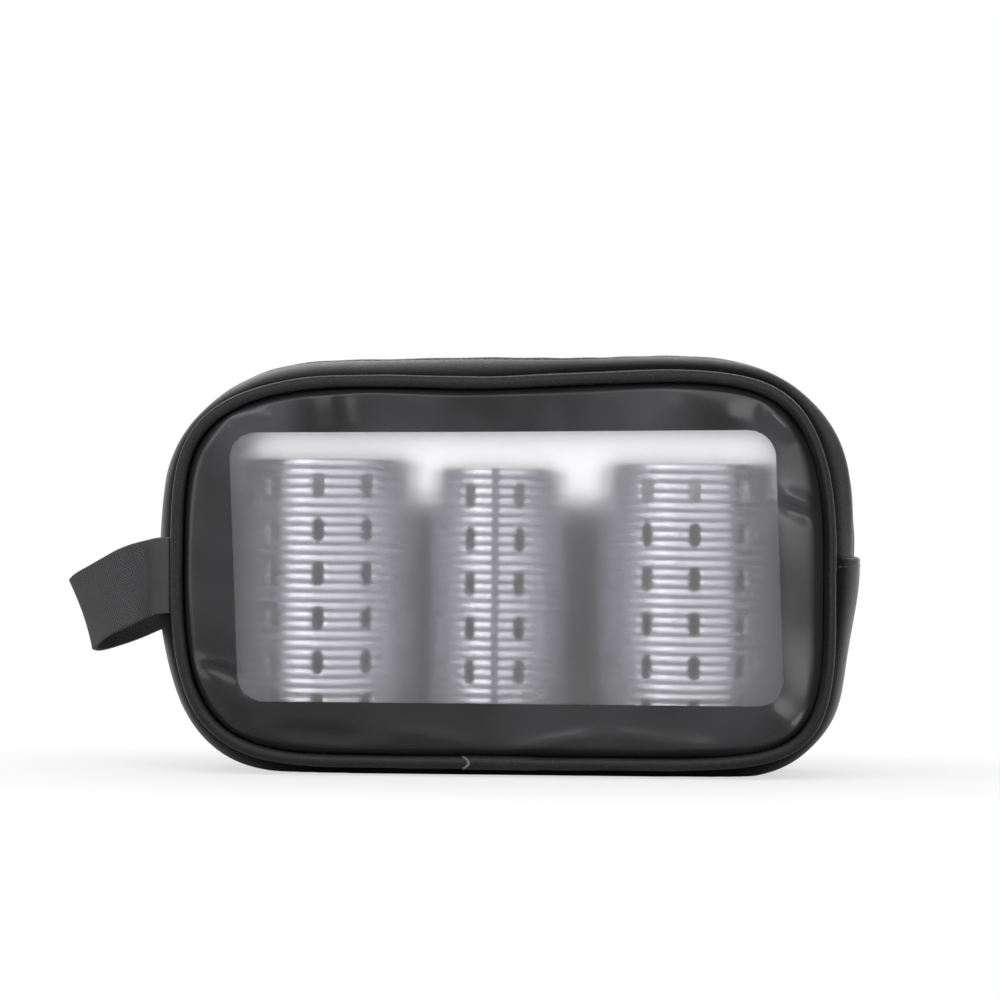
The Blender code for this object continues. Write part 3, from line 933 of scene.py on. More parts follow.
@dataclass(frozen=True)
class SeamLine:
    """Middle line of the piping: a superellipse with two powers at each corner."""

    half_width: float = 84.9
    half_height: float = 50.4
    centre_z: float = 54.5
    depth: float = 25.0
    top_right: Pair = (7.8, 2.6)
    top_left: Pair = (3.6, 4.25)
    bottom_left: Pair = (7.2, 2.85)
    bottom_right: Pair = (8.0, 4.8)
    steps: int = 500

    def quarter(self, powers: Pair) -> Array:
        """One corner from its side to its top: rows of x, z and the outward normal.

        Args:
            powers: power across and power upwards.

        Returns:
            The rows, by point.
        """
        p, q = powers
        a, b = self.half_width, self.half_height
        side_z = np.linspace(0.0, b * 0.5 ** (1 / q), self.steps)
        side_x = a * (1 - (side_z / b) ** q) ** (1 / p)
        top_x = np.linspace(a * 0.5 ** (1 / p), 0.0, self.steps)[1:]
        top_z = b * (1 - (top_x / a) ** p) ** (1 / q)
        x, z = np.hstack((side_x, top_x)), np.hstack((side_z, top_z))
        nx, nz = p * (x / a) ** (p - 1) / a, q * (z / b) ** (q - 1) / b
        length = np.hypot(nx, nz)
        return np.stack((x, z, nx / length, nz / length))

    @cached_property
    def track(self) -> Array:
        """The whole line, from the right side over the top: rows of length, x, z and normal.

        Returns:
            The rows, by point.
        """
        flips = (
            (self.top_right, 1, 1, False),
            (self.top_left, -1, 1, True),
            (self.bottom_left, -1, -1, False),
            (self.bottom_right, 1, -1, True),
        )
        runs = []
        for powers, across, up, back in flips:
            run = self.quarter(powers) * np.array([[across], [up], [across], [up]])
            runs.append((run[:, ::-1] if back else run)[:, :-1])
        line = np.hstack(runs)
        line = np.hstack((line, line[:, :1]))
        step = np.hypot(np.diff(line[0]), np.diff(line[1]))
        return np.vstack((np.hstack((0.0, np.cumsum(step))), line))

    @property
    def length(self) -> float:
        """Length once round."""
        return float(self.track[0, -1])

    def sample(self, run: Array) -> tuple[Array, ...]:
        """x, z and normal at lengths along the line; z is from the floor.

        Args:
            run: the lengths.

        Returns:
            Each as an array.
        """
        where = np.mod(run, self.length)
        x, z, nx, nz = (np.interp(where, self.track[0], row) for row in self.track[1:])
        size = np.hypot(nx, nz)
        return x, z + self.centre_z, nx / size, nz / size

    def place(self, run: Array, out: Array, y: Array) -> Array:
        """Points out from the line, at depth y."""
        x, z, nx, nz = self.sample(run)
        return np.stack(np.broadcast_arrays(x + nx * out, y, z + nz * out), axis=-1)

    def flat(self, run: Array, out: Array | float) -> Array:
        """Places (x, z) out from the line."""
        return self.place(run, out, 0.0)[..., [0, 2]]

    def run_at_height(self, z: float, right: bool) -> float:
        """Length at which the right or the left side passes a height from the floor."""
        miss = np.abs(self.track[2] + self.centre_z - z)
        return float(self.track[0, int(np.argmin(np.where((self.track[1] > 0) == right, miss, np.inf)))])

    def run_near(self, x: float, z: float) -> float:
        """Length at which the line passes nearest to a place."""
        gap = np.hypot(self.track[1] - x, self.track[2] + self.centre_z - z)
        return float(self.track[0, int(np.argmin(gap))])

    def apart(self, run: Array, other: float) -> Array:
        """Signed length from one station to others, the short way round."""
        return np.mod(run - other + self.length / 2, self.length) - self.length / 2

    def loop(self, count: int) -> Array:
        """Even stations once round."""
        return np.arange(count) * self.length / count


SEAM = SeamLine()


@dataclass(frozen=True)
class Slump:
    """How the filled pouch settles: the top sags between its corners, more at the front."""

    front_sag: float = 2.3
    back_sag: float = 1.4
    middle_x: float = -8.0
    reach: float = 38.0
    low_z: float = 88.0
    high_z: float = 103.0
    lip_sag: float = 0.35
    lip_x: float = -48.0
    lip_reach: float = 34.0
    side_y: Pair = (4.0, 23.0)
    lip_y: Pair = (-2.6, -5.5)

    def settle(self, points: Array) -> Array:
        """Moves points in millimetres with the settled cloth.

        Args:
            points: places, in the last axis.

        Returns:
            The moved places.
        """
        x, y, z = points[..., 0], points[..., 1], points[..., 2]
        high = smoothstep(self.low_z, self.high_z, z)
        dip = np.exp(-(((x - self.middle_x) / self.reach) ** 2)) * high
        front = self.front_sag * smoothstep(*self.side_y, -y)
        back = self.back_sag * smoothstep(*self.side_y, y)
        hung = np.exp(-(((x - self.lip_x) / self.lip_reach) ** 2))
        lip = self.lip_sag * hung * smoothstep(*self.lip_y, y)
        moved = points.copy()
        moved[..., 2] -= dip * (front + back) + lip * high
        return moved


SLUMP = Slump()


@dataclass(frozen=True)
class Crease:
    """A soft ridge or dent in a sheet, along a straight line."""

    start: Pair
    end: Pair
    width: float
    height: float

    def lift(self, x: Array, z: Array) -> Array:
        """How far the sheet stands out at each place.

        Args:
            x: places across.
            z: heights.

        Returns:
            The lift, in millimetres.
        """
        (ax, az), (bx, bz) = self.start, self.end
        dx, dz = bx - ax, bz - az
        length = math.hypot(dx, dz)
        along = ((x - ax) * dx + (z - az) * dz) / length
        off = ((x - ax) * dz - (z - az) * dx) / length
        fade = smoothstep(-self.width, length * 0.3, along)
        fade = fade * smoothstep(length + self.width, length * 0.7, along)
        return self.height * fade * np.exp(-((off / self.width) ** 2))


FRONT_CREASES = (
    Crease((-79.6, 30.4), (-69.4, 29.1), 1.0, 0.59),
    Crease((-79.0, 27.4), (-66.0, 18.0), 4.0, 1.2),
    Crease((-78.5, 29.3), (-68.0, 25.0), 1.5, -0.59),
    Crease((-44.0, 103.0), (-41.6, 88.0), 5.0, 1.4),
    Crease((-70.4, 93.6), (-61.0, 94.6), 1.6, 0.77),
    Crease((-70.8, 93.6), (-78.5, 83.5), 1.6, 0.85),
    Crease((68.0, 96.6), (75.5, 90.0), 2.0, 1.2),
    Crease((44.0, 100.0), (62.0, 93.0), 5.0, 1.4),
    Crease((71.0, 75.5), (82.5, 71.0), 1.7, 1),
    Crease((72.0, 71.0), (82.0, 67.5), 1.6, -0.68),
    Crease((2.0, 7.5), (27.0, 12.0), 2.0, 0.85),
    Crease((24.0, 12.0), (58.0, 8.5), 2.2, 0.85),
    Crease((-30.0, 12.5), (-4.0, 8.5), 2.0, 0.59),
    Crease((-60.0, 12.0), (-36.0, 10.0), 2.4, -0.68),
    Crease((68.0, 20.0), (77.0, 12.5), 3.0, 0.7),
    Crease((85.5, 14.0), (85.5, 104.0), 11.0, -3.0),
)
BACK_CREASES = (
    Crease((60.0, 12.0), (78.0, 24.0), 2.6, 1),
    Crease((-78.0, 30.0), (-62.0, 16.0), 2.2, 0.94),
    Crease((-30.0, 10.0), (20.0, 8.5), 2.4, 0.68),
    Crease((-66.0, 98.0), (-40.0, 92.0), 3.5, 1),
    Crease((30.0, 94.0), (68.0, 97.0), 3.0, 0.85),
    Crease((74.0, 60.0), (82.0, 66.0), 2.0, 0.85),
)


@dataclass(frozen=True)
class Gather:
    """A place along the seam where the cloth is let out or drawn in."""

    place: Pair
    shift: float
    width: float

    def near(self, run: Array, power: int = 2) -> Array:
        """1 at the gather, falling to 0 along the seam; a higher power has a flatter top."""
        off = SEAM.apart(run, SEAM.run_near(*self.place)) / self.width
        return np.exp(-(off**power))


FRONT_GATHERS = (
    Gather((84.9, 58.0), 2.4, 34.0),
    Gather((74.0, 96.0), -0.7, 14.0),
    Gather((20.0, 4.1), 1.0, 60.0),
    Gather((-70.7, 93.9), -1.0, 5.0),
    Gather((-80.0, 29.0), -0.8, 5.0),
    Gather((-69.4, 10.1), -1.0, 6.0),
    Gather((77.2, 12.0), -0.9, 7.0),
)
# Painted shade over the inner half of the front bead along its right side.
FRONT_BEAD_SHADE = (Gather((84.9, 58.0), 0.1, 44.0),)
BACK_GATHERS = (
    Gather((72.0, 94.0), -0.8, 6.0),
    Gather((-76.0, 14.0), -0.9, 6.0),
    Gather((60.0, 6.0), -0.7, 8.0),
    Gather((-84.9, 60.0), 0.9, 30.0),
)


@dataclass(frozen=True)
class Panel:
    """One side of the pouch: a sheet with a printed border round a frosted window."""

    side: Side
    creases: tuple[Crease, ...]
    gathers: tuple[Gather, ...]
    roller_lines: tuple[float, ...]
    stations: int = 480
    wall: float = 0.45
    turned_in: float = 1.25
    turned_length: float = 6.0
    groove_depth: float = 1.8
    groove_in: float = 1.4
    groove_width: float = 2.8
    groove_power: float = 3.0
    groove_steps: int = 20
    groove_waver: Waver = Waver(0.5, 9.0, 23.0, 0.8)
    turn_drop: float = 0.5
    # Painted shade fades out across the groove between these two shares of its width.
    shade_start: float = 0.3
    shade_end: float = 0.85
    border_steps: int = 20
    window_steps: int = 34
    centre: Pair = (1.0, 54.7)
    size: Pair = (142.5, 71.0)
    corner: float = 7.0
    slack: float = 1.02
    lean: float = -0.041
    top_tilt: float = 0.011
    pillow: float = -0.3
    puff: float = 0.9
    puff_inset: float = 6.0
    drape: float = 0.5
    drape_width: float = 12.0
    drape_low: Pair = (4.0, 20.0)
    drape_high: Pair = (92.0, 76.0)
    ripple: float = 0.22

    def window_edge(self, run: Array) -> Array:
        """Points (x, z) of the window's outline towards each seam station.

        Args:
            run: lengths along the seam.

        Returns:
            The outline, by station.
        """
        x, z, _, _ = SEAM.sample(run)
        ray = np.stack((x - self.centre[0], z - self.centre[1]), axis=-1)
        ray /= np.linalg.norm(ray, axis=-1, keepdims=True)
        half = np.array(self.size) / 2
        reach = np.min(half / np.maximum(np.abs(ray), 1e-9), axis=-1)
        core = half - self.corner
        heart = np.sign(ray) * core
        along = np.sum(ray * heart, axis=-1)
        inside = along**2 - np.sum(heart**2, axis=-1) + self.corner**2
        rounded = along + np.sqrt(np.maximum(inside, 0.0))
        hit = np.abs(ray) * reach[:, None]
        reach = np.where(np.all(hit > core, axis=-1), rounded, reach)
        edge = ray * reach[:, None] + np.array(self.centre)
        rise = edge[:, 1] - self.centre[1]
        edge[:, 0] += self.lean * rise
        edge[:, 1] += self.top_tilt * edge[:, 0] * smoothstep(0.0, self.size[1] / 2, rise)
        return edge

    def stand(self, x: Array, z: Array) -> Array:
        """How far the sheet stands out past the seam plane.

        Args:
            x: places across.
            z: heights.

        Returns:
            The distance, in millimetres.
        """
        across = np.abs(x) / SEAM.half_width
        up = np.abs(z - SEAM.centre_z) / SEAM.half_height
        reach = np.minimum((across**4 + up**4) ** 0.25, 1.0)
        inset = (1.0 - reach) * SEAM.half_height / self.puff_inset
        stand = self.pillow * (1 - reach**6)
        stand += self.puff * inset * np.exp(1.0 - inset)
        behind = smoothstep(*self.drape_low, z) * smoothstep(*self.drape_high, z)
        for line in self.roller_lines:
            stand += self.drape * np.exp(-(((x - line) / self.drape_width) ** 2)) * behind
        for crease in self.creases:
            stand += crease.lift(x, z)
        stand += self.ripple * np.sin(x / 9.0 + z / 14.0) * np.sin(z / 11.0 - x / 23.0 + 1.0)
        return stand

    def groove(self, run: Array) -> Array:
        """Width of the groove beside the piping at each station."""
        plain = self.groove_width + self.groove_waver.at(run)
        return sum((gather.shift * gather.near(run) for gather in self.gathers), plain)

    def lay(self, flat: Array, depth: Array) -> Array:
        """Points of the sheet from their places (x, z) and their depth past the seam plane."""
        y = self.side.value * (SEAM.depth + depth)
        return SLUMP.settle(np.stack((flat[..., 0], y, flat[..., 1]), axis=-1))

    def build_border(self, run: Array, edge: Array) -> Piece:
        """The border, from the edge that is turned in at the seam, over the groove, to the window, with
        painted shade over the turned-in edge fading out across the groove.

        Args:
            run: lengths along the seam.
            edge: the window's outline there.

        Returns:
            The border.
        """
        width = self.groove(run)
        # Painted shade of each ring: full on the turned-in edge, fading across the groove, none on the
        # border.
        outer, inner, painted_shade = [], [], [1.0, 1.0]
        flat = SEAM.flat(run, -self.turned_in)
        under = SEAM.flat(run, -self.turned_in - self.wall)
        for depth in (-self.turned_length, -self.groove_depth - self.turn_drop):
            outer.append(self.lay(flat, np.full(len(run), depth)))
            inner.append(self.lay(under, np.full(len(run), depth - 0.5 * self.wall)))
        face = []
        for share in np.linspace(0.0, 1.0, self.groove_steps):
            flat = SEAM.flat(run, -self.groove_in - width * share)
            ease = 1.0 - (1.0 - share) ** self.groove_power
            painted_shade.append(float(smoothstep(self.shade_end, self.shade_start, np.array(share))))
            face.append((flat, -self.groove_depth * (1 - ease) + self.stand(flat[:, 0], flat[:, 1]) * ease))
        rim = SEAM.flat(run, -self.groove_in - width)
        for share in np.linspace(0.0, 1.0, self.border_steps + 1)[1:]:
            flat = rim + (edge - rim) * share
            face.append((flat, self.stand(flat[:, 0], flat[:, 1])))
        outer += [self.lay(flat, depth) for flat, depth in face]
        inner += [self.lay(flat, depth - self.wall) for flat, depth in face]
        rings = np.stack(outer + inner[::-1], axis=1)
        painted_shade += [0.0] * self.border_steps
        tuck = np.broadcast_to(np.array(painted_shade + painted_shade[::-1]), rings.shape[:2])
        return loft(f"{self.side.word}_border", rings, PRINT, Ends.JOINED, tuck=tuck)

    def build_window(self, edge: Array) -> Piece:
        """The frosted window as a thin closed slab.

        Args:
            edge: its outline.

        Returns:
            The window.
        """
        centre = np.array(self.centre)
        shares = np.linspace(1.0, 0.0, self.window_steps + 1)[:-1]
        flat = centre + (edge - centre) * shares[:, None, None]
        stand = self.stand(flat[..., 0], flat[..., 1])
        heart = self.stand(centre[:1], centre[1:])
        walls = (0.0, self.wall)
        points = [self.lay(flat, stand - wall).reshape(-1, 3) for wall in walls]
        points += [self.lay(centre[None], heart - wall) for wall in walls]
        count = len(edge)
        skin = len(shares) * count
        grid = quads(len(shares), count, False, True)
        faces = grid.tolist() + (grid + skin).tolist()
        ring = [(i, (i + 1) % count) for i in range(count)]
        faces += [[i, j, skin + j, skin + i] for i, j in ring]
        for k in range(2):
            last = (k + 1) * skin - count
            faces += [[last + i, last + j, 2 * skin + k] for i, j in ring]
        return make_piece(f"{self.side.word}_pane", np.concatenate(points), faces, FROST)

    def dress(self) -> None:
        """Builds the border and the window, which meet along the print, and hangs them on the pouch."""
        run = SEAM.loop(self.stations)
        edge = self.window_edge(run)
        border, window = self.build_border(run, edge), self.build_window(edge)
        mount(border, "pouch", "printed_border", f"{self.side.word}_frame")
        mount(window, "pouch", "frosted_sheet", f"{self.side.word}_window")


@dataclass(frozen=True)
class Piping:
    """Round bead round a panel, whose inner half carries painted shade at given places. Its end is folded
    over its start at the bottom.
    """

    side: Side
    # Places where the bead's inner half carries painted shade.
    sunk: tuple[Gather, ...] = ()
    radius: float = 1.62
    shift: float = 0.35
    sides: int = 34
    tail_out: float = 0.8
    tail_in: float = 1.2
    tail_length: float = 6.0
    stations: int = 620
    lap_start: float = -10.4
    lap_end: float = 9.2
    lap_swell: float = 0.15
    lap_lip: float = 0.26
    lap_tongue: float = 2.0
    lap_margin: Pair = (0.4, 0.6)
    lap_steps: int = 48
    lap_fade: float = 1.4
    lip_range: Pair = (0.1, 0.8)
    bead_shade_range: Pair = (0.5, -0.3)
    wobble: Waver = Waver(0.10, 7.3, 19.0, 1.3)
    beading: Ripple = Ripple(0.02, 3.9, 23.0)
    floor_z: float = 0.3

    def build(self) -> Piece:
        """Sweeps the bead along the seam, thicker where its end covers its start.

        Returns:
            The bead.
        """
        begin, end = (SEAM.run_near(x, 0.0) for x in (self.lap_start, self.lap_end))
        before, after = self.lap_margin
        dense = np.linspace(begin - before, begin + self.lap_tongue + after, self.lap_steps)
        run = np.sort(np.hstack((SEAM.loop(self.stations), dense)))[:, None]
        ends = [math.acos(-(tail + self.shift) / self.radius) for tail in (self.tail_out, self.tail_in)]
        turns = np.linspace(ends[0], ends[1] - math.tau, self.sides)
        out = np.hstack((self.radius * np.cos(turns) + self.shift, -self.tail_in, -self.tail_out))
        back = np.hstack((self.radius * np.sin(turns), self.tail_length, self.tail_length))
        tongue = self.lap_tongue * np.maximum(-back / self.radius, 0.0) ** 2
        past = SEAM.apart(run, begin) - tongue[None]
        left = SEAM.apart(run, end)
        lap = smoothstep(0.0, self.lap_lip, past) * smoothstep(self.lap_fade, -self.lap_fade, left)
        swell = 1.0 + self.beading.at(run) + self.lap_swell * lap
        depth = self.side.value * (SEAM.depth - back[None] * swell)
        points = SEAM.place(run, out[None] * swell + self.wobble.at(run), depth)
        points[..., 2] = np.maximum(points[..., 2], self.floor_z)
        edge = np.exp(-(((past - self.lap_lip / 2) / self.lap_lip) ** 2))
        edge = edge * smoothstep(*self.lip_range, -back / self.radius)
        # Painted shade on the bead's inner half near each of those places; the lap's cut edge is set to -1.
        shade = 0.0 * past
        high, low = self.bead_shade_range
        for gather in self.sunk:
            inside = smoothstep(gather.shift + high, gather.shift + low, out[None])
            shade = shade + gather.near(run, 4) * inside
        rings = SLUMP.settle(points)
        return loft(f"{self.side.word}_bead", rings, LEATHERETTE, Ends.JOINED, tuck=shade - edge)

    def dress(self) -> None:
        """Builds the bead and hangs it on the pouch."""
        mount(self.build(), "pouch", "leatherette", f"{self.side.word}_piping")


@dataclass(frozen=True)
class SeamBinding:
    """Flat tape over the raw edges inside a seam."""

    side: Side
    inset: float = 2.7
    wall: float = 0.45
    back: float = 2.9
    width: float = 4.0
    stations: int = 300
    across: int = 5
    ripple: Ripple = Ripple(0.08, 1.7, 13.0)
    outer_share: float = 0.4

    def dress(self) -> None:
        """Builds the tape and hangs it on the pouch."""
        run = SEAM.loop(self.stations)[:, None]
        y = np.linspace(SEAM.depth - self.back, SEAM.depth - self.back - self.width, self.across)
        ripple = self.ripple.at(run)
        outer = SEAM.place(run, -self.inset - ripple * self.outer_share + 0 * y, self.side.value * y)
        inner = SEAM.place(run, -self.inset - self.wall + ripple + 0 * y, self.side.value * y)
        rings = SLUMP.settle(np.concatenate((outer, inner[:, ::-1]), axis=1))
        tape = loft(f"{self.side.word}_binding", rings, TAPE, Ends.JOINED)
        mount(tape, "pouch", "zip_tape", f"seam_tape_{self.side.word}")


@dataclass(frozen=True)
class InnerPocket:
    """Slip pocket of lining cloth against the inside of the back panel."""

    inset: float = 5.0
    wall: float = 0.5
    standoff: float = 1.3
    low_z: float = 10.4
    top_z: float = 72.5
    hem: float = 6.0
    hem_wall: float = 0.25
    hem_step: float = 0.4
    droop: float = 0.35
    droop_z: float = 60.0
    follow: float = 0.6
    follow_most: float = 2.0
    clear: float = 0.75
    rows: int = 48
    columns: int = 90

    def dress(self, panel: Panel) -> None:
        """Builds the pocket with its hem and hangs it on the pouch.

        Args:
            panel: the back panel that it lies against.
        """
        z = np.linspace(self.low_z, self.top_z, self.rows)
        first, last = -self.reach(z, False), self.reach(z, True)
        share = np.linspace(0.0, 1.0, self.columns)
        x = first[:, None] + (last - first)[:, None] * share
        level = z[:, None] + 0 * x
        droop = self.droop * np.sin(share * math.pi) * smoothstep(self.droop_z, self.top_z, level)
        stand = panel.stand(x, level)
        y = SEAM.depth + np.minimum(stand, self.follow_most) * self.follow - self.standoff
        y = np.minimum(y, SEAM.depth + stand - self.clear)
        hem = self.top_z - self.hem
        thick = self.wall + self.hem_wall * smoothstep(hem - self.hem_step, hem, level)
        back = np.stack((x, y, level - droop), axis=-1)
        front = np.stack((x, y - thick, level - droop), axis=-1)
        rings = np.concatenate((back, front[:, ::-1]), axis=1)
        pocket = loft("inner_pocket_cloth", rings, LINING, Ends.LADDER)
        mount(pocket, "pouch", "lining", "inner_pocket")
        cut = (float(np.max(last - first)) * MM, (self.top_z - self.low_z) * MM)

    def reach(self, z: Array, right: bool) -> Array:
        """Half width at a height: the seam's outline, drawn in by the inset.

        Args:
            z: heights.
            right: which side.

        Returns:
            The half widths.
        """
        up = (z - SEAM.centre_z) / (SEAM.half_height - self.inset)
        high, low = (SEAM.top_right, SEAM.bottom_right) if right else (SEAM.top_left, SEAM.bottom_left)
        p = np.where(up > 0, high[0], low[0])
        q = np.where(up > 0, high[1], low[1])
        return (SEAM.half_width - self.inset) * (1 - np.abs(up) ** q) ** (1 / p)


@dataclass(frozen=True)
class Gusset:
    """Strip between the two seams: its crown, its puckers and the flat that it stands on."""

    wall: float = 0.9
    half: float = 22.4
    root: float = 0.1
    side_crown: float = 6.6
    top_crown: float = 5.1
    base_crown: float = 5.8
    corner_ease: float = 0.2
    power: float = 3.0
    gathers: tuple[Gather, ...] = (
        Gather((-60.0, 102.0), 1.3, 20.0),
        Gather((82.0, 84.0), 0.9, 12.0),
        Gather((84.0, 30.0), -1.5, 17.0),
        Gather((-74.0, 9.0), 1.7, 13.0),
        Gather((48.0, 104.0), 0.9, 27.0),
        Gather((-84.9, 58.0), 0.55, 12.0),
        Gather((84.9, 56.0), 0.6, 14.0),
    )
    ridge_place: Pair = (82.0, 86.0)
    ridge_length: float = 26.0
    ridge_y: float = -12.5
    ridge_width: float = 2.6
    ridge_rise: float = 0.9
    fold_top_z: float = 57.7
    fold_length: float = 8.7
    fold_rise: float = 1.4
    fold_ramp: float = 26.0
    fold_wall: float = 1.2
    stations: int = 300
    across: int = 41
    pucker: float = 0.16
    pucker_pitch: float = 6.5
    stitch_drop: float = 2.2
    # Painted shade beside the piping: none above the top height of the crown, full below the low one; it
    # reaches higher on the left side and at the top right.
    tuck_low: float = 1.4
    tuck_top: float = 5.3
    tuck_left: float = 0.8
    painted_shade_gather: Gather = Gather((46.0, 105.0), 1.2, 42.0)
    pucker_reach: float = 3.5
    slack: float = 0.22
    end_steps: tuple[float, ...] = (0.0, 0.06, 0.2, 0.42, 0.7, 1.1, 1.5)
    end_margin: float = 2.0
    stitch_inset: float = 1.6
    stitch_rise: float = 0.08
    stitch_steps: int = 60

    def crest(self, run: Array) -> Array:
        """Height of the crown over the seam line.

        Args:
            run: lengths along the seam.

        Returns:
            The heights.
        """
        _, _, nx, nz = SEAM.sample(run)
        upright = np.where(nz > 0, self.top_crown, self.base_crown)
        plain = self.side_crown * nx * nx + upright * nz * nz
        crest = plain * (1 - self.corner_ease * (2 * nx * nz) ** 2)
        return sum((gather.shift * gather.near(run) for gather in self.gathers), crest)

    def crown(self, run: Array, y: Array) -> Array:
        """Height of the strip's outer face over the seam line.

        Args:
            run: lengths along the seam.
            y: depths across the strip.

        Returns:
            The heights.
        """
        rise = 1 - np.minimum(np.abs(y) / self.half, 1.0) ** self.power
        plain = self.root + (self.crest(run) - self.root) * rise
        near = np.exp(-(self.half - np.abs(y)) / self.pucker_reach)
        ripple = np.sin(run * math.tau / self.pucker_pitch + 2.2 * np.sin(run / 17.0) + np.sign(y))
        slack = self.slack * np.sin(run / 11.0 + y / 9.0) * np.sin(run / 29.0 + 0.7)
        off = SEAM.apart(run, SEAM.run_near(*self.ridge_place)) / self.ridge_length
        slack = slack + self.ridge_rise * np.exp(-(off**4) - ((y - self.ridge_y) / self.ridge_width) ** 2)
        loose = self.pucker * ripple * near + slack * (1 - near)
        return plain + loose * smoothstep(0.0, 2.0, rise * 4.0)

    def tuck(self, run: Array, y: Array) -> Array:
        """Painted shade at each point of a strip, from 0 high on the crown to 1 low beside the piping.

        Args:
            run: lengths along the seam.
            y: depths across the strip.

        Returns:
            The painted shade, by station and depth.
        """
        _, _, nx, _ = SEAM.sample(run)
        # The painted shade reaches higher up the crown on the left side and at the top right.
        lower = self.tuck_left * np.maximum(-nx, 0.0)
        lower = lower + self.painted_shade_gather.shift * self.painted_shade_gather.near(run, 4)
        height = self.crown(run[:, None], y[None]) - lower[:, None]
        return smoothstep(self.tuck_top, self.tuck_low, height)

    def strip(self, run: Array, y: Array, depth: Array) -> Array:
        """Section rings of a strip.

        Args:
            run: stations along the seam.
            y: depth of each point of the section.
            depth: how far each point lies under the strip's outer face.

        Returns:
            Places by station and section point, kept off the floor.
        """
        out = self.crown(run[:, None], y[None]) - depth
        points = SEAM.place(run[:, None], out, y[None])
        face = SEAM.place(run[:, None], out + depth, y[None])
        points[..., 2] += np.maximum(-face[..., 2], 0.0)
        return SLUMP.settle(points)

    def cut(self, run: Array, y: Array, turned: float) -> Pair:
        """Length and width in metres of a strip laid flat, with what is turned under at its edge.

        Args:
            run: lengths along the seam.
            y: depths across it.
            turned: width turned under.

        Returns:
            The two sizes.
        """
        face = self.strip(run, y, np.zeros(len(y)))
        along, across = (np.linalg.norm(np.diff(face, axis=i), axis=2).sum(axis=i).max() for i in (0, 1))
        return float(along) * MM, float(across + turned) * MM

    def ends(self) -> Pair:
        """Stations where the side and bottom strip starts and ends."""
        first = SEAM.run_at_height(self.fold_top_z, right=False)
        return first, SEAM.run_at_height(self.fold_top_z, right=True) + SEAM.length

    def section(self) -> Array:
        """Depths across the strip, from the front seam to the back one."""
        return np.linspace(-self.half, self.half, self.across)

    def build(self) -> Piece:
        """The side and bottom strip, whose folded ends lie over the zip.

        Returns:
            The strip.
        """
        first, last = self.ends()
        middle = np.linspace(first + self.end_margin, last - self.end_margin, self.stations)
        ends = np.array(self.end_steps)
        run = np.hstack((first + ends, middle, (last - ends)[::-1]))
        reach = np.minimum(run - first, last - run)
        lift = self.fold_rise * smoothstep(self.fold_length + self.fold_ramp, self.fold_length * 0.4, reach)
        doubled = smoothstep(self.fold_length + self.end_margin, self.fold_length, reach)
        thick = self.wall + (self.fold_wall - self.wall) * doubled
        half = thick / 2
        lens = np.sqrt(np.clip(1 - (1 - np.minimum(reach / half, 1.0)) ** 2, 0.0, 1.0))
        y = self.section()
        top = (half - lift - half * lens)[:, None] + 0 * y
        low = (half - lift + half * lens)[:, None] + 0 * y
        section_y = np.hstack((y, y[::-1]))
        rings = self.strip(run, section_y, np.hstack((top, low)))
        # The strip carries painted shade beside the piping.
        return loft("lower_strip", rings, LEATHERETTE, Ends.LADDER, tuck=self.tuck(run, section_y))

    def dress(self) -> None:
        """Builds the strip with its stitch rows and hangs it on the pouch."""
        strip = self.build()
        mount(strip, "pouch", "leatherette", "lower_gusset")
        flat = self.cut(np.linspace(*self.ends(), self.stations), self.section(), 0.0)
        for right, word in ((True, "right"), (False, "left")):
            edge = SEAM.run_at_height(self.fold_top_z, right)
            run = np.full(self.stitch_steps, edge + (-self.stitch_drop if right else self.stitch_drop))
            end = self.half - self.stitch_inset
            y = np.linspace(-end, end, self.stitch_steps)
            line = SEAM.place(run, self.crown(run, y) + self.fold_rise + self.stitch_rise, y)
            row = Stitches(f"{word}_tab_stitches").build(SLUMP.settle(line))
            mount(row, "pouch", "leatherette")


@dataclass(frozen=True)
class Stitches:
    """A row of sewn stitches along a line."""

    name: str
    pitch: float = 2.6
    length: float = 2.0
    thick: float = 0.34

    def build(self, line: Array) -> Piece:
        """Sews along a line of points in millimetres.

        Args:
            line: the line, in order.

        Returns:
            The row of stitches.
        """
        sizes = {"Pitch": self.pitch * MM, "Length": self.length * MM, "Thickness": self.thick * MM}
        tree = GeometryTree("stitch row", sizes)
        bead = tree.add("GeometryNodeMeshUVSphere", {"Segments": 6, "Rings": 5, "Radius": 0.5})
        scale = tree.join(tree.size("Thickness"), tree.size("Thickness"), tree.size("Length"))
        tree.close(tree.repeat(tree.path(), bead.outputs[0], scale), THREAD)
        return tree.grow(self.name, line)


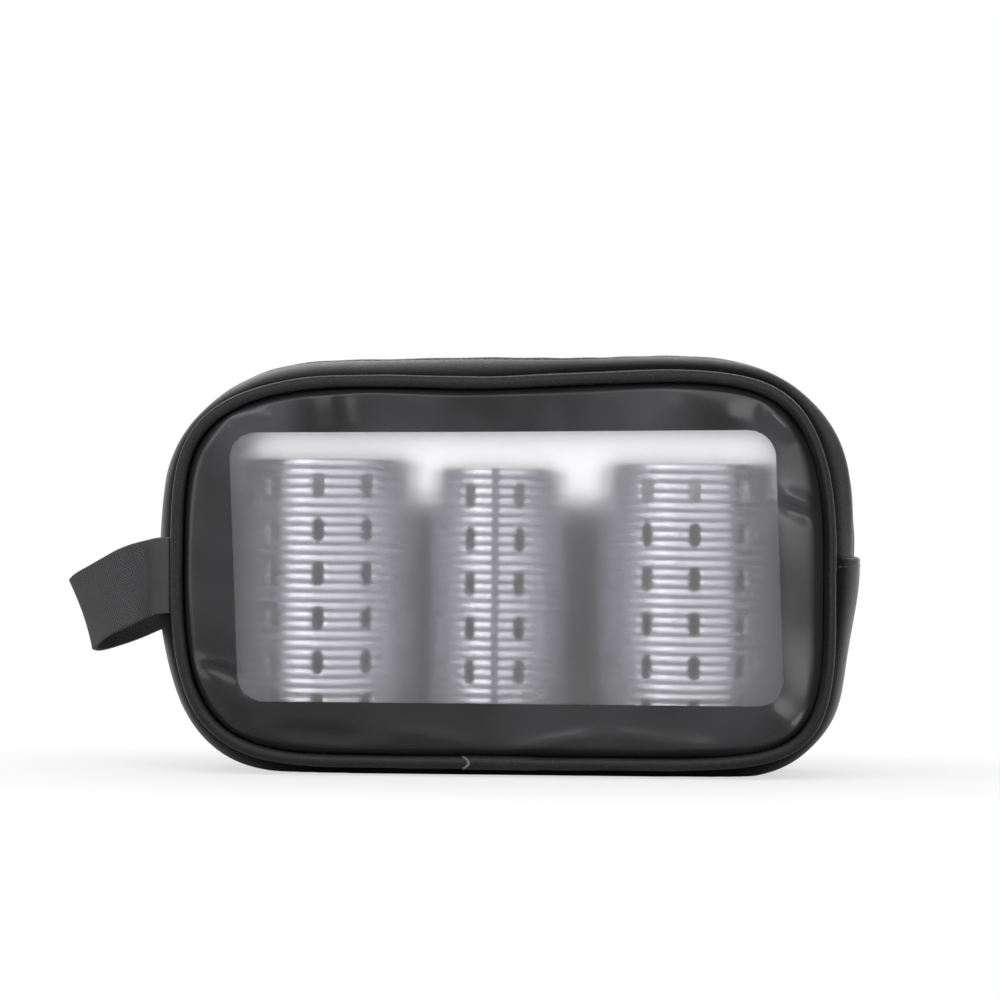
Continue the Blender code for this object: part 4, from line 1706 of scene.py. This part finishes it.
@dataclass(frozen=True)
class ZipTrack:
    """Facings, tapes and coils of the zip over the top of the pouch."""

    gusset: Gusset
    edge_y: float = 5.5
    fold: float = 3.5
    fold_wall: float = 1.9
    end_z: float = 50.3
    coil_end_z: float = 53.3
    track_depth: float = 4.2
    track_level: float = TRACK_LEVEL
    tape_wall: float = 0.5
    tape_in: float = 0.9
    tape_out: float = 9.3
    tape_bend: float = 5.8
    tape_sewn: float = 8.4
    tape_sag: float = 0.12
    tape_steps: int = 14
    coil_y: float = 0.85
    coil_pitch: float = 1.3
    coil_half: float = 1.15
    coil_flat: float = 0.5
    coil_wire: float = 0.24
    coil_rise: float = 0.8
    coil_lean: float = 0.35
    core_half: float = 0.9
    core_flat: float = 0.4
    pinch: Ripple = Ripple(0.12, 2.1, 15.0)
    pinch_y: float = 9.0
    pinch_share: float = 0.5
    lining_step: float = 0.7
    stitch_y: float = 8.2
    stitch_width: float = 0.8
    stitch_dent: float = 0.35
    stitch_sink: float = 0.22
    stitch_end: float = 1.0
    face_steps: int = 24
    stations: int = 260

    def arch(self, low_z: float) -> Array:
        """Stations over the top, from low_z on the right to low_z on the left."""
        first, last = (SEAM.run_at_height(low_z, right) for right in (True, False))
        return np.linspace(first if first < last else first - SEAM.length, last, self.stations)

    def track(self, run: Array, rise: Array, y: Array) -> Array:
        """Points over the tape's outer face; the track is level along the top's straight run.

        Args:
            run: lengths along the seam.
            rise: height over the face.
            y: depths.

        Returns:
            The points.
        """
        base = self.gusset.crest(run) - self.track_depth
        points = SEAM.place(run, base + rise, y)
        over = np.maximum(SEAM.place(run, base, 0.0)[..., 2] - self.track_level, 0.0)
        points[..., 2] -= over
        return points

    def facing(self, side: Side) -> Piece:
        """Strip between a seam and the zip, with its edge folded under along the zip.

        Args:
            side: which side of the zip.

        Returns:
            The piece.
        """
        run = self.arch(self.end_z)
        wall, half = self.gusset.wall, self.fold_wall / 2
        face = np.linspace(self.gusset.half, self.edge_y + half, self.face_steps)
        turn = np.linspace(0.0, math.pi, 9)[1:-1]
        under = np.linspace(self.edge_y + half, self.edge_y + self.fold, 6)
        lining = np.linspace(self.edge_y + self.fold + self.lining_step, self.gusset.half, 16)
        y = np.hstack((face, self.edge_y + half - half * np.sin(turn), under, lining))
        turned = (0 * face, half - half * np.cos(turn), 0 * under + self.fold_wall, 0 * lining + wall)
        depth = np.hstack(turned)
        pinch = self.pinch.at(run)[:, None] * (y < self.pinch_y)[None] * self.pinch_share
        dent = np.exp(-(((y - self.stitch_y) / self.stitch_width) ** 2)) * (depth < 0.01) * self.stitch_dent
        rings = self.gusset.strip(run, side.value * y, depth[None] + dent[None] + pinch)
        # The facing carries painted shade beside the piping, as the strip does.
        tuck = self.gusset.tuck(run, side.value * y)
        return loft(f"{side.word}_facing", rings, LEATHERETTE, Ends.FLAT, tuck=tuck)

    def tape(self, side: Side) -> Piece:
        """Woven tape of one side, which climbs to the facing's folded edge, where it is sewn.

        Args:
            side: which side of the zip.

        Returns:
            The piece.
        """
        run = self.arch(self.end_z)
        y = np.linspace(self.tape_in, self.tape_out, self.tape_steps)
        sag = self.tape_sag * np.sin((y - self.tape_in) * 0.5)
        section_y = np.hstack((y, y[::-1]))
        rise = np.hstack((-sag, -sag[::-1] - self.tape_wall))
        across = side.value * section_y[None]
        sunk = self.track(run[:, None], rise[None], across)
        face = self.gusset.crown(run[:, None], across) - self.fold_wall
        sewn = SEAM.place(run[:, None], face + np.minimum(rise + sag.max(), 0.0), across)
        climb = smoothstep(self.tape_bend, self.tape_sewn, section_y)[None, :, None]
        rings = SLUMP.settle(sunk + (sewn - sunk) * climb)
        return loft(f"{side.word}_tape", rings, TAPE, Ends.LADDER)

    def coil(self, side: Side) -> Piece:
        """Row of coil loops along the tape's edge.

        Args:
            side: which side of the zip.

        Returns:
            The piece.
        """
        run = self.arch(self.coil_end_z) + side.value * self.coil_pitch / 4
        line = self.track(run, self.coil_rise, np.array(side.value * self.coil_y))
        sizes = {"Pitch": self.coil_pitch, "Half": self.coil_half}
        sizes.update({"Wire": self.coil_wire, "Core": self.core_half})
        tree = GeometryTree("zip coil", {label: size * MM for label, size in sizes.items()})
        ring = {"Geometry": tree.circle(10, tree.size("Half")), "Rotation": (0.0, self.coil_lean, 0.0)}
        ring = tree.add("GeometryNodeTransform", {**ring, "Scale": (self.coil_flat, 1.0, 1.0)})
        loop = tree.sweep(ring.outputs[0], tree.circle(5, tree.size("Wire")))
        cord = {"Geometry": tree.circle(8, tree.size("Core")), "Scale": (self.core_flat, 1.0, 1.0)}
        cord = tree.add("GeometryNodeTransform", cord)
        path = tree.path()
        joined = tree.add("GeometryNodeJoinGeometry", {0: tree.repeat(path, loop)})
        tree.feed(joined.inputs[0], tree.sweep(path, cord.outputs[0], caps=True))
        tree.close(joined.outputs[0], COIL)
        return tree.grow(f"{side.word}_coil", line)

    def topstitch(self, side: Side) -> Piece:
        """Row of stitches beside the folded edge.

        Args:
            side: which side of the zip.

        Returns:
            The piece.
        """
        run = self.arch(self.gusset.fold_top_z + self.stitch_end)
        y = np.full(len(run), side.value * self.stitch_y)
        line = SEAM.place(run, self.gusset.crown(run, y) - self.stitch_sink, y)
        return Stitches(f"{side.word}_zip_stitches").build(SLUMP.settle(line))

    def dress(self) -> None:
        """Builds the track and hangs it on the pouch."""
        for side in Side:
            facing = self.facing(side)
            mount(facing, "pouch", "leatherette", f"zip_facing_{side.word}")
            y = side.value * np.linspace(self.gusset.half, self.edge_y, self.face_steps)
            flat = self.gusset.cut(self.arch(self.end_z), y, self.fold)
            mount(self.topstitch(side), "pouch", "leatherette")
            mount(self.tape(side), "pouch", "zip_tape", f"zip_tape_{side.word}")
            mount(self.coil(side), "pouch", "zip_coil", f"zip_coil_{side.word}")
        for word in ("left", "right"):
            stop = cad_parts[f"zip_stop_{word}"]
            stop.data.materials.clear()
            stop.data.materials.append(METAL.material())


@dataclass(frozen=True)
class Slider:
    """Zip slider with its bail, and the pull that hangs from it."""

    x: float = -38.0
    level: float = TRACK_LEVEL
    length: float = 9.0
    half_width: float = 3.5
    over: float = 1.6
    plate: float = 0.7
    under: float = -0.8
    post: tuple[Pair, ...] = (
        (-4.0, -0.35), (-2.4, -0.35), (-2.2, 0.0), (-2.4, 0.35), (-4.0, 0.35)
    )
    post_sink: float = 0.3
    body_bevel: float = 0.16
    bail_half: float = 2.6
    bail_wire: float = 0.7
    bail_rise: float = 2.0
    bail_depth: float = 0.7
    bail_square: float = 0.6
    bail_sink: float = 0.1
    pivot: float = 3.3
    pull_length: float = 21.0
    pull_half: float = 2.9
    pull_bar: float = 0.5
    pull_corner: float = 1.6
    pull_bevel: float = 0.18
    waist: float = 0.22
    waist_x: float = 7.5
    waist_width: float = 3.0
    eye_half: float = 1.5
    eye_end: float = 3.9
    eye_corner: float = 0.8
    sharp: float = 50.0

    def plate_outline(self) -> Array:
        """Shield outline of a slider plate: two shoulders at the split end and a narrower tail.

        Returns:
            Places (x, y) round the plate.
        """
        half, wide = self.length / 2, self.half_width
        right = [(half, 0.42), (half - 0.5, 0.60), (0.8, 0.66), (-1.4, 0.86), (-2.6, 1.0), (-half + 0.7, 1.0)]
        right += [(-half, 0.86), (-half, 0.5), (-half + 0.9, 0.12)]
        points = [(x, wide * share) for x, share in right]
        return np.array(points + [(x, -y) for x, y in points[::-1]])

    def slab(self, name: str, outline: Array, low: float, high: float) -> Piece:
        """A flat plate with softened edges, at the slider's place."""
        points = [[(x + self.x, y, self.level + z) for x, y in outline] for z in (low, high)]
        return loft(name, np.array(points), METAL, Ends.FLAT, sharp=self.sharp)

    def build_body(self) -> Piece:
        """Both plates, the post between them and the bail, as one piece.

        Returns:
            The slider.
        """
        outline = self.plate_outline()
        top = self.slab("slider_body", outline, self.over, self.over + self.plate)
        parts = [top, self.slab("slider_low", outline, self.under - self.plate, self.under)]
        low, high = self.under - self.post_sink, self.over + self.post_sink
        parts.append(self.slab("slider_post", np.array(self.post), low, high))
        parts.append(self.build_bail())
        return join_pieces(parts, self.body_bevel)

    def build_bail(self) -> Piece:
        """Arched strip over the top plate that carries the pull.

        Returns:
            The bail.
        """
        base = self.level + self.over + self.plate
        half = self.bail_depth
        ring = []
        for angle in np.linspace(-self.bail_sink, math.pi + self.bail_sink, 22):
            wide = math.copysign(abs(math.cos(angle)) ** self.bail_square, math.cos(angle))
            high = max(math.sin(angle), -self.bail_sink)
            outer_x = self.x + wide * self.bail_half
            inner_x = self.x + wide * (self.bail_half - self.bail_wire)
            outer_z = base + (self.bail_rise + self.bail_wire) * max(high, -self.bail_sink / 2)
            inner_z = base + self.bail_rise * high
            outer = [(outer_x, y, outer_z) for y in (-half, half)]
            ring.append(outer + [(inner_x, y, inner_z) for y in (half, -half)])
        return loft("slider_bail", np.array(ring), METAL, Ends.LADDER)

    def build_pull(self) -> Piece:
        """Flat tab with a rounded end and an eye for the bail.

        Returns:
            The pull.
        """
        turn = np.linspace(0.0, math.tau, 64, endpoint=False)
        heart = np.array([self.eye_end / 2 + 0.25, 0.0])
        ray = np.stack((np.cos(turn), np.sin(turn)), axis=-1)
        bar, tip, end = self.pull_bar, self.pull_length, self.eye_end
        outer = heart + ray * self.reach(ray, heart, -bar, tip, self.pull_half, self.pull_corner)[:, None]
        inner = heart + ray * self.reach(ray, heart, bar, end, self.eye_half, self.eye_corner)[:, None]
        outer[:, 1] *= 1.0 - self.waist * np.exp(-(((outer[:, 0] - self.waist_x) / self.waist_width) ** 2))
        rows = []
        for flat, z in ((outer, -1), (outer, 1), (inner, 1), (inner, -1)):
            height = self.level + self.pivot + z * bar
            rows.append(np.column_stack((flat[:, 0] + self.x, flat[:, 1], np.full(len(flat), height))))
        pull = loft("zip_tab", np.array(rows), METAL, Ends.JOINED, sharp=self.sharp)
        return join_pieces([pull], self.pull_bevel)

    def reach(self, ray: Array, heart: Array, low: float, high: float, half: float, corner: float) -> Array:
        """Distance from a point inside a rounded rectangle to its outline.

        Args:
            ray: directions that are followed.
            heart: the point that they start from.
            low: where the rectangle starts along the pull.
            high: where it ends.
            half: half of its width.
            corner: radius of its corners.

        Returns:
            The distance along each ray.
        """
        steps = np.linspace(0.0, 30.0, 6001)
        middle = np.array([(low + high) / 2, 0.0])
        core = np.array([(high - low) / 2 - corner, half - corner])
        points = np.abs(heart + steps[:, None] * ray[:, None] - middle) - core
        gap = np.linalg.norm(np.maximum(points, 0.0), axis=2) - corner
        return steps[np.argmax(gap > 0, axis=1)]

    def dress(self) -> None:
        """Builds the slider and its pull, each on its own body."""
        mount(self.build_body(), "slider", "dark_metal", "zip_slider")
        mount(self.build_pull(), "pull", "dark_metal", "zip_pull")


def join_pieces(parts: list[Piece], bevel: float) -> Piece:
    """Joins parts into the first one and softens its edges.

    Args:
        parts: the parts, of which the first keeps its name.
        bevel: width of the softened edges in millimetres.

    Returns:
        The joined piece.
    """
    first, *rest = parts
    form = bmesh.new()
    for part in parts:
        form.from_mesh(part.data)
    form.to_mesh(first.data)
    form.free()
    for part in rest:
        bpy.data.objects.remove(part)
    edge = first.modifiers.new("Soft edges", "BEVEL")
    edge.width = bevel * MM
    edge.segments = 2
    edge.limit_method = "ANGLE"
    settle_modifiers(first)
    return first


@dataclass(frozen=True)
class WristStrap:
    """One length of webbing from the front seam round to the back seam."""

    width: float = 20.0
    wall: float = 1.5
    root_z: float = 52.0
    back_drop: float = 3.9
    pivot: Pair = (-96.8, 50.7)
    tilt: float = math.radians(21.3)
    fall: float = 7.8
    fall_power: float = 0.83
    reach: float = 16.7
    half_span: float = 12.2
    roundness: float = 1.2
    route: tuple[Triple, ...] = (
        (2.0, 23.3, 0.0), (2.9, 22.2, 0.0), (6.2, 18.0, 0.2), (8.2, 14.6, 0.5), (9.8, 12.2, 0.85)
    )
    loop_turns: Pair = (0.06, 0.5)
    tilt_range: Pair = (0.6, 1.06)
    smoothing: int = 12
    edge: float = 0.4
    cup: float = 0.35
    across: int = 19
    stations: int = 150

    def half_path(self) -> Array:
        """Rows of x, y, z and tilt from the front seam to the far fold.

        Returns:
            The rows.
        """
        root, (pivot_x, pivot_z) = self.root_z, self.pivot
        rows = [
            (-SEAM.half_width - out, -y, root - drop * (root - pivot_z), 0.0) for out, y, drop in self.route
        ]
        for turn in np.linspace(*self.loop_turns, 24) * math.pi:
            share = math.sin(turn) ** self.roundness
            y = -self.half_span * abs(math.cos(turn)) ** self.roundness
            tilt = self.tilt * float(smoothstep(*self.tilt_range, np.array(share)))
            z = pivot_z - self.fall * share**self.fall_power
            rows.append((pivot_x - self.reach * share, y, z, tilt))
        return np.array(rows)

    def path(self) -> Array:
        """Even stations over the whole length, smoothed.

        Returns:
            The same rows, by station.
        """
        half = self.half_path()
        mirror = half[::-1][1:] * np.array([1, -1, 1, 1])
        whole = np.vstack((half, mirror))
        whole[:, 2] -= self.back_drop * smoothstep(-self.half_span, self.half_span, whole[:, 1])
        step = np.linalg.norm(np.diff(whole[:, :3], axis=0), axis=1)
        run = np.hstack((0.0, np.cumsum(step)))
        even = np.linspace(0.0, run[-1], self.stations)
        rows = np.stack([np.interp(even, run, column) for column in whole.T], axis=1)
        for _ in range(self.smoothing):
            rows[1:-1] = rows[1:-1] * 0.5 + (rows[:-2] + rows[2:]) * 0.25
        return rows

    def build(self) -> Piece:
        """Sweeps the webbing's section along its path.

        Returns:
            The strap.
        """
        rows = self.path()
        along = np.gradient(rows[:, :3], axis=0)
        along /= np.linalg.norm(along, axis=1, keepdims=True)
        up = np.stack((-np.sin(rows[:, 3]), 0 * rows[:, 3], np.cos(rows[:, 3])), axis=-1)
        up -= along * np.sum(up * along, axis=1, keepdims=True)
        up /= np.linalg.norm(up, axis=1, keepdims=True)
        out = np.cross(along, up)
        half, wall = self.width / 2, self.wall / 2
        across = np.linspace(-half + self.edge, half - self.edge, self.across)
        flat = np.hstack((across, half, across[::-1], -half))
        skin = np.full(self.across, wall)
        thick = np.hstack((skin, 0.0, -skin, 0.0))
        run = np.linspace(0.0, 1.0, len(rows))
        cup = self.cup * np.sin(run * math.pi)[:, None] * (1 - (flat / half) ** 2)[None]
        points = rows[:, None, :3] + up[:, None] * flat[None, :, None]
        points = points + out[:, None] * (thick[None] + cup)[..., None]
        length = np.hstack((0.0, np.cumsum(np.linalg.norm(np.diff(rows[:, :3], axis=0), axis=1))))
        uv = np.stack(np.broadcast_arrays(length[:, None], flat[None]), axis=-1)
        return loft("wrist_webbing", points, WEBBING, Ends.FLAT, uv=uv)

    def dress(self) -> None:
        """Builds the strap, whose loop swings out from the pouch, in place of its CAD nodes."""
        strap = self.build()
        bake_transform(strap)
        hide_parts("strap_root_front", "strap_root_back", "wrist_strap")
        log.info("%s bends from pouch to strap with %d faces", strap.name, len(strap.data.polygons))


@dataclass(frozen=True)
class Roller:
    """Self-grip roller: a ribbed, slotted foil tube with rows of hooks."""

    word: str
    radius: float
    place: Triple
    columns: int
    first_turn: float
    lap_turn: float
    around: int
    length: float = 72.5
    hook_depth: float = 2.5
    wall: float = 0.7
    rib_pitch: float = 2.5
    rib_height: float = 0.42
    slot_rows: int = 6
    slot_pitch: float = 11.6
    slot_width: float = 3.0
    slot_length: float = 6.5
    lap_half: float = 1.1
    lap_soft: float = 0.15
    lap_rise: float = 0.9
    lap_shine: float = 0.1
    snap: float = 0.8
    weld: float = 0.002
    hook_pitch: float = 1.5
    hook_wire: float = 0.055
    hook_middle: Triple = (1.5, 0.0, 0.1)
    hook_end: Triple = (0.72, 0.0, 0.42)
    hook_stray: Pair = (0.3, 0.22)
    hook_twist: float = 0.9
    rim_clear: float = 0.45
    up_steps: int = 145

    @property
    def barrel(self) -> float:
        """Radius of the tube's outer face."""
        return self.radius - self.hook_depth

    def sizes(self) -> dict[str, float | int]:
        """Sizes that both geometry trees take, in metres and radians.

        Returns:
            Each size by the name of its input.
        """
        low = (self.length - self.slot_pitch * (self.slot_rows - 1)) / 2 - self.length / 2
        return {
            "Radius": (self.barrel - self.rib_height) * MM,
            "Length": self.length * MM,
            "Rib Pitch": self.rib_pitch * MM,
            "Rib Height": self.rib_height * MM,
            "Column Turn": math.tau / self.columns,
            "First Turn": self.first_turn,
            "Lap Turn": self.lap_turn,
            "Lap Half": self.lap_half * MM,
            "Low Row": low * MM,
            "Top Row": float(self.slot_rows - 1),
            "Row Pitch": self.slot_pitch * MM,
            "Slot Half Width": self.slot_width / 2 * MM,
            "Slot Straight": (self.slot_length - self.slot_width) / 2 * MM,
        }

    def slot_field(self, tree: GeometryTree, turn: Value, height: Value) -> tuple[Value, Value, Value, Value]:
        """Distance to the nearest slot's rim, and the way to it.

        Args:
            tree: the geometry tree.
            turn: angle round the tube.
            height: height from the tube's middle.

        Returns:
            Signed distance to the rim, the offset around and along from the slot's spine, and its length.
        """
        share = (turn - tree.size("First Turn")) / tree.size("Column Turn")
        around = (share - share.of("ROUND")) * tree.size("Column Turn") * tree.size("Radius")
        row = (height - tree.size("Low Row")) / tree.size("Row Pitch")
        nearest = row.of("ROUND").of("MAXIMUM", 0.0).of("MINIMUM", tree.size("Top Row"))
        along = (row - nearest) * tree.size("Row Pitch")
        past = (abs(along) - tree.size("Slot Straight")).of("MAXIMUM", 0.0) * along.of("SIGN")
        reach = (around * around + past * past).of("SQRT").of("MAXIMUM", 1e-6)
        return reach - tree.size("Slot Half Width"), around, past, reach

    def lap_gap(self, tree: GeometryTree, turn: Value) -> Value:
        """Distance round the tube to the lap of its foil."""
        return abs((turn - tree.size("Lap Turn")).of("WRAP", math.pi, -math.pi)) * tree.size("Radius")

    def wrap(self, tree: GeometryTree, radius: Value, turn: Value, height: Value) -> Socket:
        """A place on the standing tube, whose foot is at height 0."""
        level = height + tree.size("Length") * 0.5
        return tree.join(radius * turn.of("COSINE"), radius * turn.of("SINE"), level)

    def stand(self, piece: Piece) -> Piece:
        """Moves a piece to the roller's place."""
        piece.data.transform(Matrix.Translation(Vector(self.place) * MM))
        return piece

    def build_tube(self) -> Piece:
        """The foil tube, wrapped from a flat grid with its slots cut out.

        Returns:
            The tube.
        """
        tree = GeometryTree(f"ribbed tube {self.word}", self.sizes())
        sheet = {"Size X": 1.0, "Size Y": tree.size("Length")}
        sheet.update({"Vertices X": self.around + 1, "Vertices Y": self.up_steps + 1})
        grid = tree.add("GeometryNodeMeshGrid", sheet).outputs[0]
        x, y, _ = tree.place_field()
        turn = x * math.tau
        rim, around, past, reach = self.slot_field(tree, turn, y)
        cut = {"Geometry": grid, "Selection": rim < 0.0}
        open_grid = tree.add("GeometryNodeDeleteGeometry", cut, domain="FACE").outputs[0]
        single = tree.value(tree.add("GeometryNodeInputMeshEdgeNeighbors")) < 1.5
        lone = tree.add("GeometryNodeFieldOnDomain", {0: single}, domain="EDGE", data_type="FLOAT")
        bordering = tree.value(lone)
        near = (bordering > 0.01) * (abs(rim) < self.snap * MM)
        snapped_turn = x - around * rim / reach / tree.size("Radius") / math.tau
        snapped = tree.move(open_grid, tree.join(snapped_turn, y - past * rim / reach, 0.0), near)
        wave = ((y / tree.size("Rib Pitch")) * math.tau).of("COSINE") * 0.5 + 0.5
        edges = [self.lap_half * MM * (1.0 + side * self.lap_soft) for side in (1, -1)]
        lap = tree.ease(self.lap_gap(tree, turn), *edges)
        rib = wave * (1.0 - lap)
        # The rib share, kept for the foil, whose valleys take painted shade.
        kept = tree.keep(snapped, "rib", rib + lap * self.lap_shine)
        ring = tree.size("Radius") + tree.size("Rib Height") * (rib + lap * self.lap_rise)
        tube = {"Geometry": tree.move(kept, self.wrap(tree, ring, turn, y)), "Distance": self.weld * MM}
        tree.close(tree.add("GeometryNodeMergeByDistance", tube).outputs[0], FOIL)
        return self.stand(tree.grow(f"roller_{self.word}_tube", np.zeros((2, 3)), self.wall))

    def build_hooks(self) -> Piece:
        """Rows of curled hooks in the valleys between the ribs.

        Returns:
            The hooks, as one piece.
        """
        sizes = self.sizes()
        count = round(math.tau * self.barrel / self.hook_pitch)
        rows = int(self.length / self.rib_pitch) - 1
        sizes.update({"Around": count, "Rows": rows, "Hook Reach": (self.hook_depth + self.rib_height) * MM})
        tree = GeometryTree(f"hook rows {self.word}", sizes)
        sheet = {"Size X": 1.0 - 1.0 / count, "Size Y": rows * self.rib_pitch * MM - self.rib_pitch * MM}
        sheet.update({"Vertices X": tree.size("Around"), "Vertices Y": tree.size("Rows")})
        grid = tree.add("GeometryNodeMeshGrid", sheet).outputs[0]
        x, y, _ = tree.place_field()
        aside, up = self.hook_stray
        turn = (x + self.random(tree, aside / count, 0)) * math.tau
        spread = tree.move(grid, tree.join(turn, y + self.random(tree, up * MM, 1), 0.0))
        angle, height, _ = tree.place_field()
        rim, _, _, _ = self.slot_field(tree, angle, height)
        bare = (rim < self.rim_clear * MM).of("MAXIMUM", self.lap_gap(tree, angle) < tree.size("Lap Half"))
        cut = {"Geometry": spread, "Selection": bare}
        rooted = tree.add("GeometryNodeDeleteGeometry", cut, domain="POINT").outputs[0]
        twist = self.random(tree, self.hook_twist, 2)
        kept = tree.keep(rooted, "bearing", angle)
        placed = tree.move(kept, self.wrap(tree, tree.size("Radius"), angle, height))
        bearing = tree.add("GeometryNodeInputNamedAttribute", {"Name": "bearing"}, data_type="FLOAT")
        facing = tree.value(bearing)
        bend = {"Resolution": 6, "Start": (0.0, 0.0, 0.0), "Middle": self.hook_middle, "End": self.hook_end}
        curl = tree.add("GeometryNodeCurveQuadraticBezier", bend).outputs[0]
        reach = tree.size("Hook Reach")
        sockets = {
            "Points": placed,
            "Instance": tree.sweep(curl, tree.circle(3, self.hook_wire)),
            "Rotation": tree.join(twist, 0.0, facing),
            "Scale": tree.join(reach, reach, reach),
        }
        tree.close(tree.add("GeometryNodeInstanceOnPoints", sockets).outputs[0], HOOKS)
        return self.stand(tree.grow(f"roller_{self.word}_hooks", np.zeros((2, 3))))

    def random(self, tree: GeometryTree, most: float, draw: int) -> Value:
        """A random number for each point, up to most either way, with a fixed seed."""
        sockets = {2: -most, 3: most, "Seed": SEED + draw}
        return tree.value(tree.add("FunctionNodeRandomValue", sockets, data_type="FLOAT"), 1)

    def dress(self) -> None:
        """Builds the tube and its hooks, which lift together."""
        body = f"roller_{self.word}"
        mount(self.build_tube(), body, "barrel_metal", f"{body}_barrel")
        mount(self.build_hooks(), body, "hooks", f"{body}_sleeve")


ROLLERS = (
    Roller("left", 24.0, (-47.4, 0.0, 10.5), 10, math.radians(-93.0), math.radians(60.0), 180),
    Roller("middle", 18.0, (-2.1, -5.0, 8.2), 7, math.radians(-65.0), math.radians(-90.5), 132),
    Roller("right", 24.0, (48.3, 0.0, 9.8), 10, math.radians(-85.0), math.radians(70.0), 180),
)


@dataclass(frozen=True)
class Lamp:
    """A soft box that looks at the pouch."""

    name: str
    place: Triple
    size: Pair
    watts: float
    through: bool = False


@dataclass(frozen=True)
class Studio:
    """White floor and backdrop, soft boxes and the camera."""

    aim: Triple = (-0.0005, -0.027, 0.0723)
    azimuth: float = math.radians(3.5)
    elevation: float = math.radians(0.3)
    roll: float = math.radians(0.4)
    distance: float = 1.2
    frame_width: float = 0.26
    sensor: float = 36.0
    floor_half: float = 0.45
    floor_steps: int = 25
    lamp_aim: Triple = (0.0, 0.0, 0.05)
    world_fill: float = 0.42
    lamps: tuple[Lamp, ...] = (
        Lamp("top box", (0.0, -0.8, 1.05), (1.6, 0.7), 7.5),
        Lamp("rim box", (0.0, 1.1, 0.65), (1.5, 0.3), 2.4),
        Lamp("left box", (-0.9, -1.0, 0.45), (0.9, 1.2), 6.0, through=True),
        Lamp("right box", (0.62, -1.25, 0.45), (0.45, 0.9), 5.2),
        Lamp("back card", (0.0, 2.2, 0.6), (3.0, 3.0), 7.5, through=True),
    )

    def build_floor(self) -> None:
        """Lays the floor."""
        half = self.floor_half / MM
        steps = np.linspace(-half, half, self.floor_steps)
        x, y = np.meshgrid(steps, steps)
        faces = quads(self.floor_steps, self.floor_steps, False, False).tolist()
        floor = make_piece("studio_floor", np.stack((x, y, 0 * x), axis=-1), faces, PAPER)

    def light(self) -> None:
        """Sets the world and the soft boxes."""
        world = bpy.data.worlds.new("white studio")
        bpy.context.scene.world = world
        world.use_nodes = True
        graph = Graph(world.node_tree)
        fill = self.world_fill + (1.0 - self.world_fill) * seen_ray(graph)
        background = world.node_tree.nodes["Background"]
        graph.feed_all(background, {"Strength": fill, "Color": (1.0, 1.0, 1.0, 1.0)})
        for lamp in self.lamps:
            data = bpy.data.lights.new(lamp.name, "AREA")
            data.shape = "RECTANGLE"
            data.size, data.size_y = lamp.size
            data.energy = lamp.watts
            box = put(lamp.name, data)
            box.location = lamp.place
            box.visible_transmission = lamp.through
            towards = Vector(self.lamp_aim) - box.location
            box.rotation_euler = towards.to_track_quat("-Z", "Y").to_euler()

    def build_camera(self) -> None:
        """Puts the camera at the photograph's angle."""
        data = bpy.data.cameras.new("camera")
        data.sensor_width = self.sensor
        data.lens = self.sensor * self.distance / self.frame_width
        camera = put("camera", data)
        level = math.cos(self.elevation)
        across, away = math.sin(self.azimuth) * level, -math.cos(self.azimuth) * level
        back = Vector((across, away, math.sin(self.elevation)))
        camera.location = Vector(self.aim) + back * self.distance
        turned = (-back).to_track_quat("-Z", "Y") @ Quaternion((0.0, 0.0, 1.0), self.roll)
        camera.rotation_euler = turned.to_euler()
        bpy.context.scene.camera = camera

    def build(self) -> None:
        """Sets up the whole studio."""
        self.build_camera()
        self.build_floor()
        self.light()
        bpy.context.scene.view_settings.view_transform = "Standard"


def main() -> None:
    """Builds every sub-assembly in order."""
    logging.basicConfig(level=logging.INFO, format="%(name)s: %(message)s")
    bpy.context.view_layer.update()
    Studio().build()
    lines = tuple(roller.place[0] for roller in ROLLERS)
    front = Panel(Side.FRONT, FRONT_CREASES, FRONT_GATHERS, lines)
    back = Panel(Side.BACK, BACK_CREASES, BACK_GATHERS, lines)
    for panel in (front, back):
        panel.dress()
        Piping(panel.side, FRONT_BEAD_SHADE if panel is front else ()).dress()
        SeamBinding(panel.side).dress()
    InnerPocket().dress(back)
    gusset = Gusset()
    gusset.dress()
    ZipTrack(gusset).dress()
    Slider().dress()
    WristStrap().dress()
    for roller in ROLLERS:
        roller.dress()


if __name__ == "__main__":
    main()
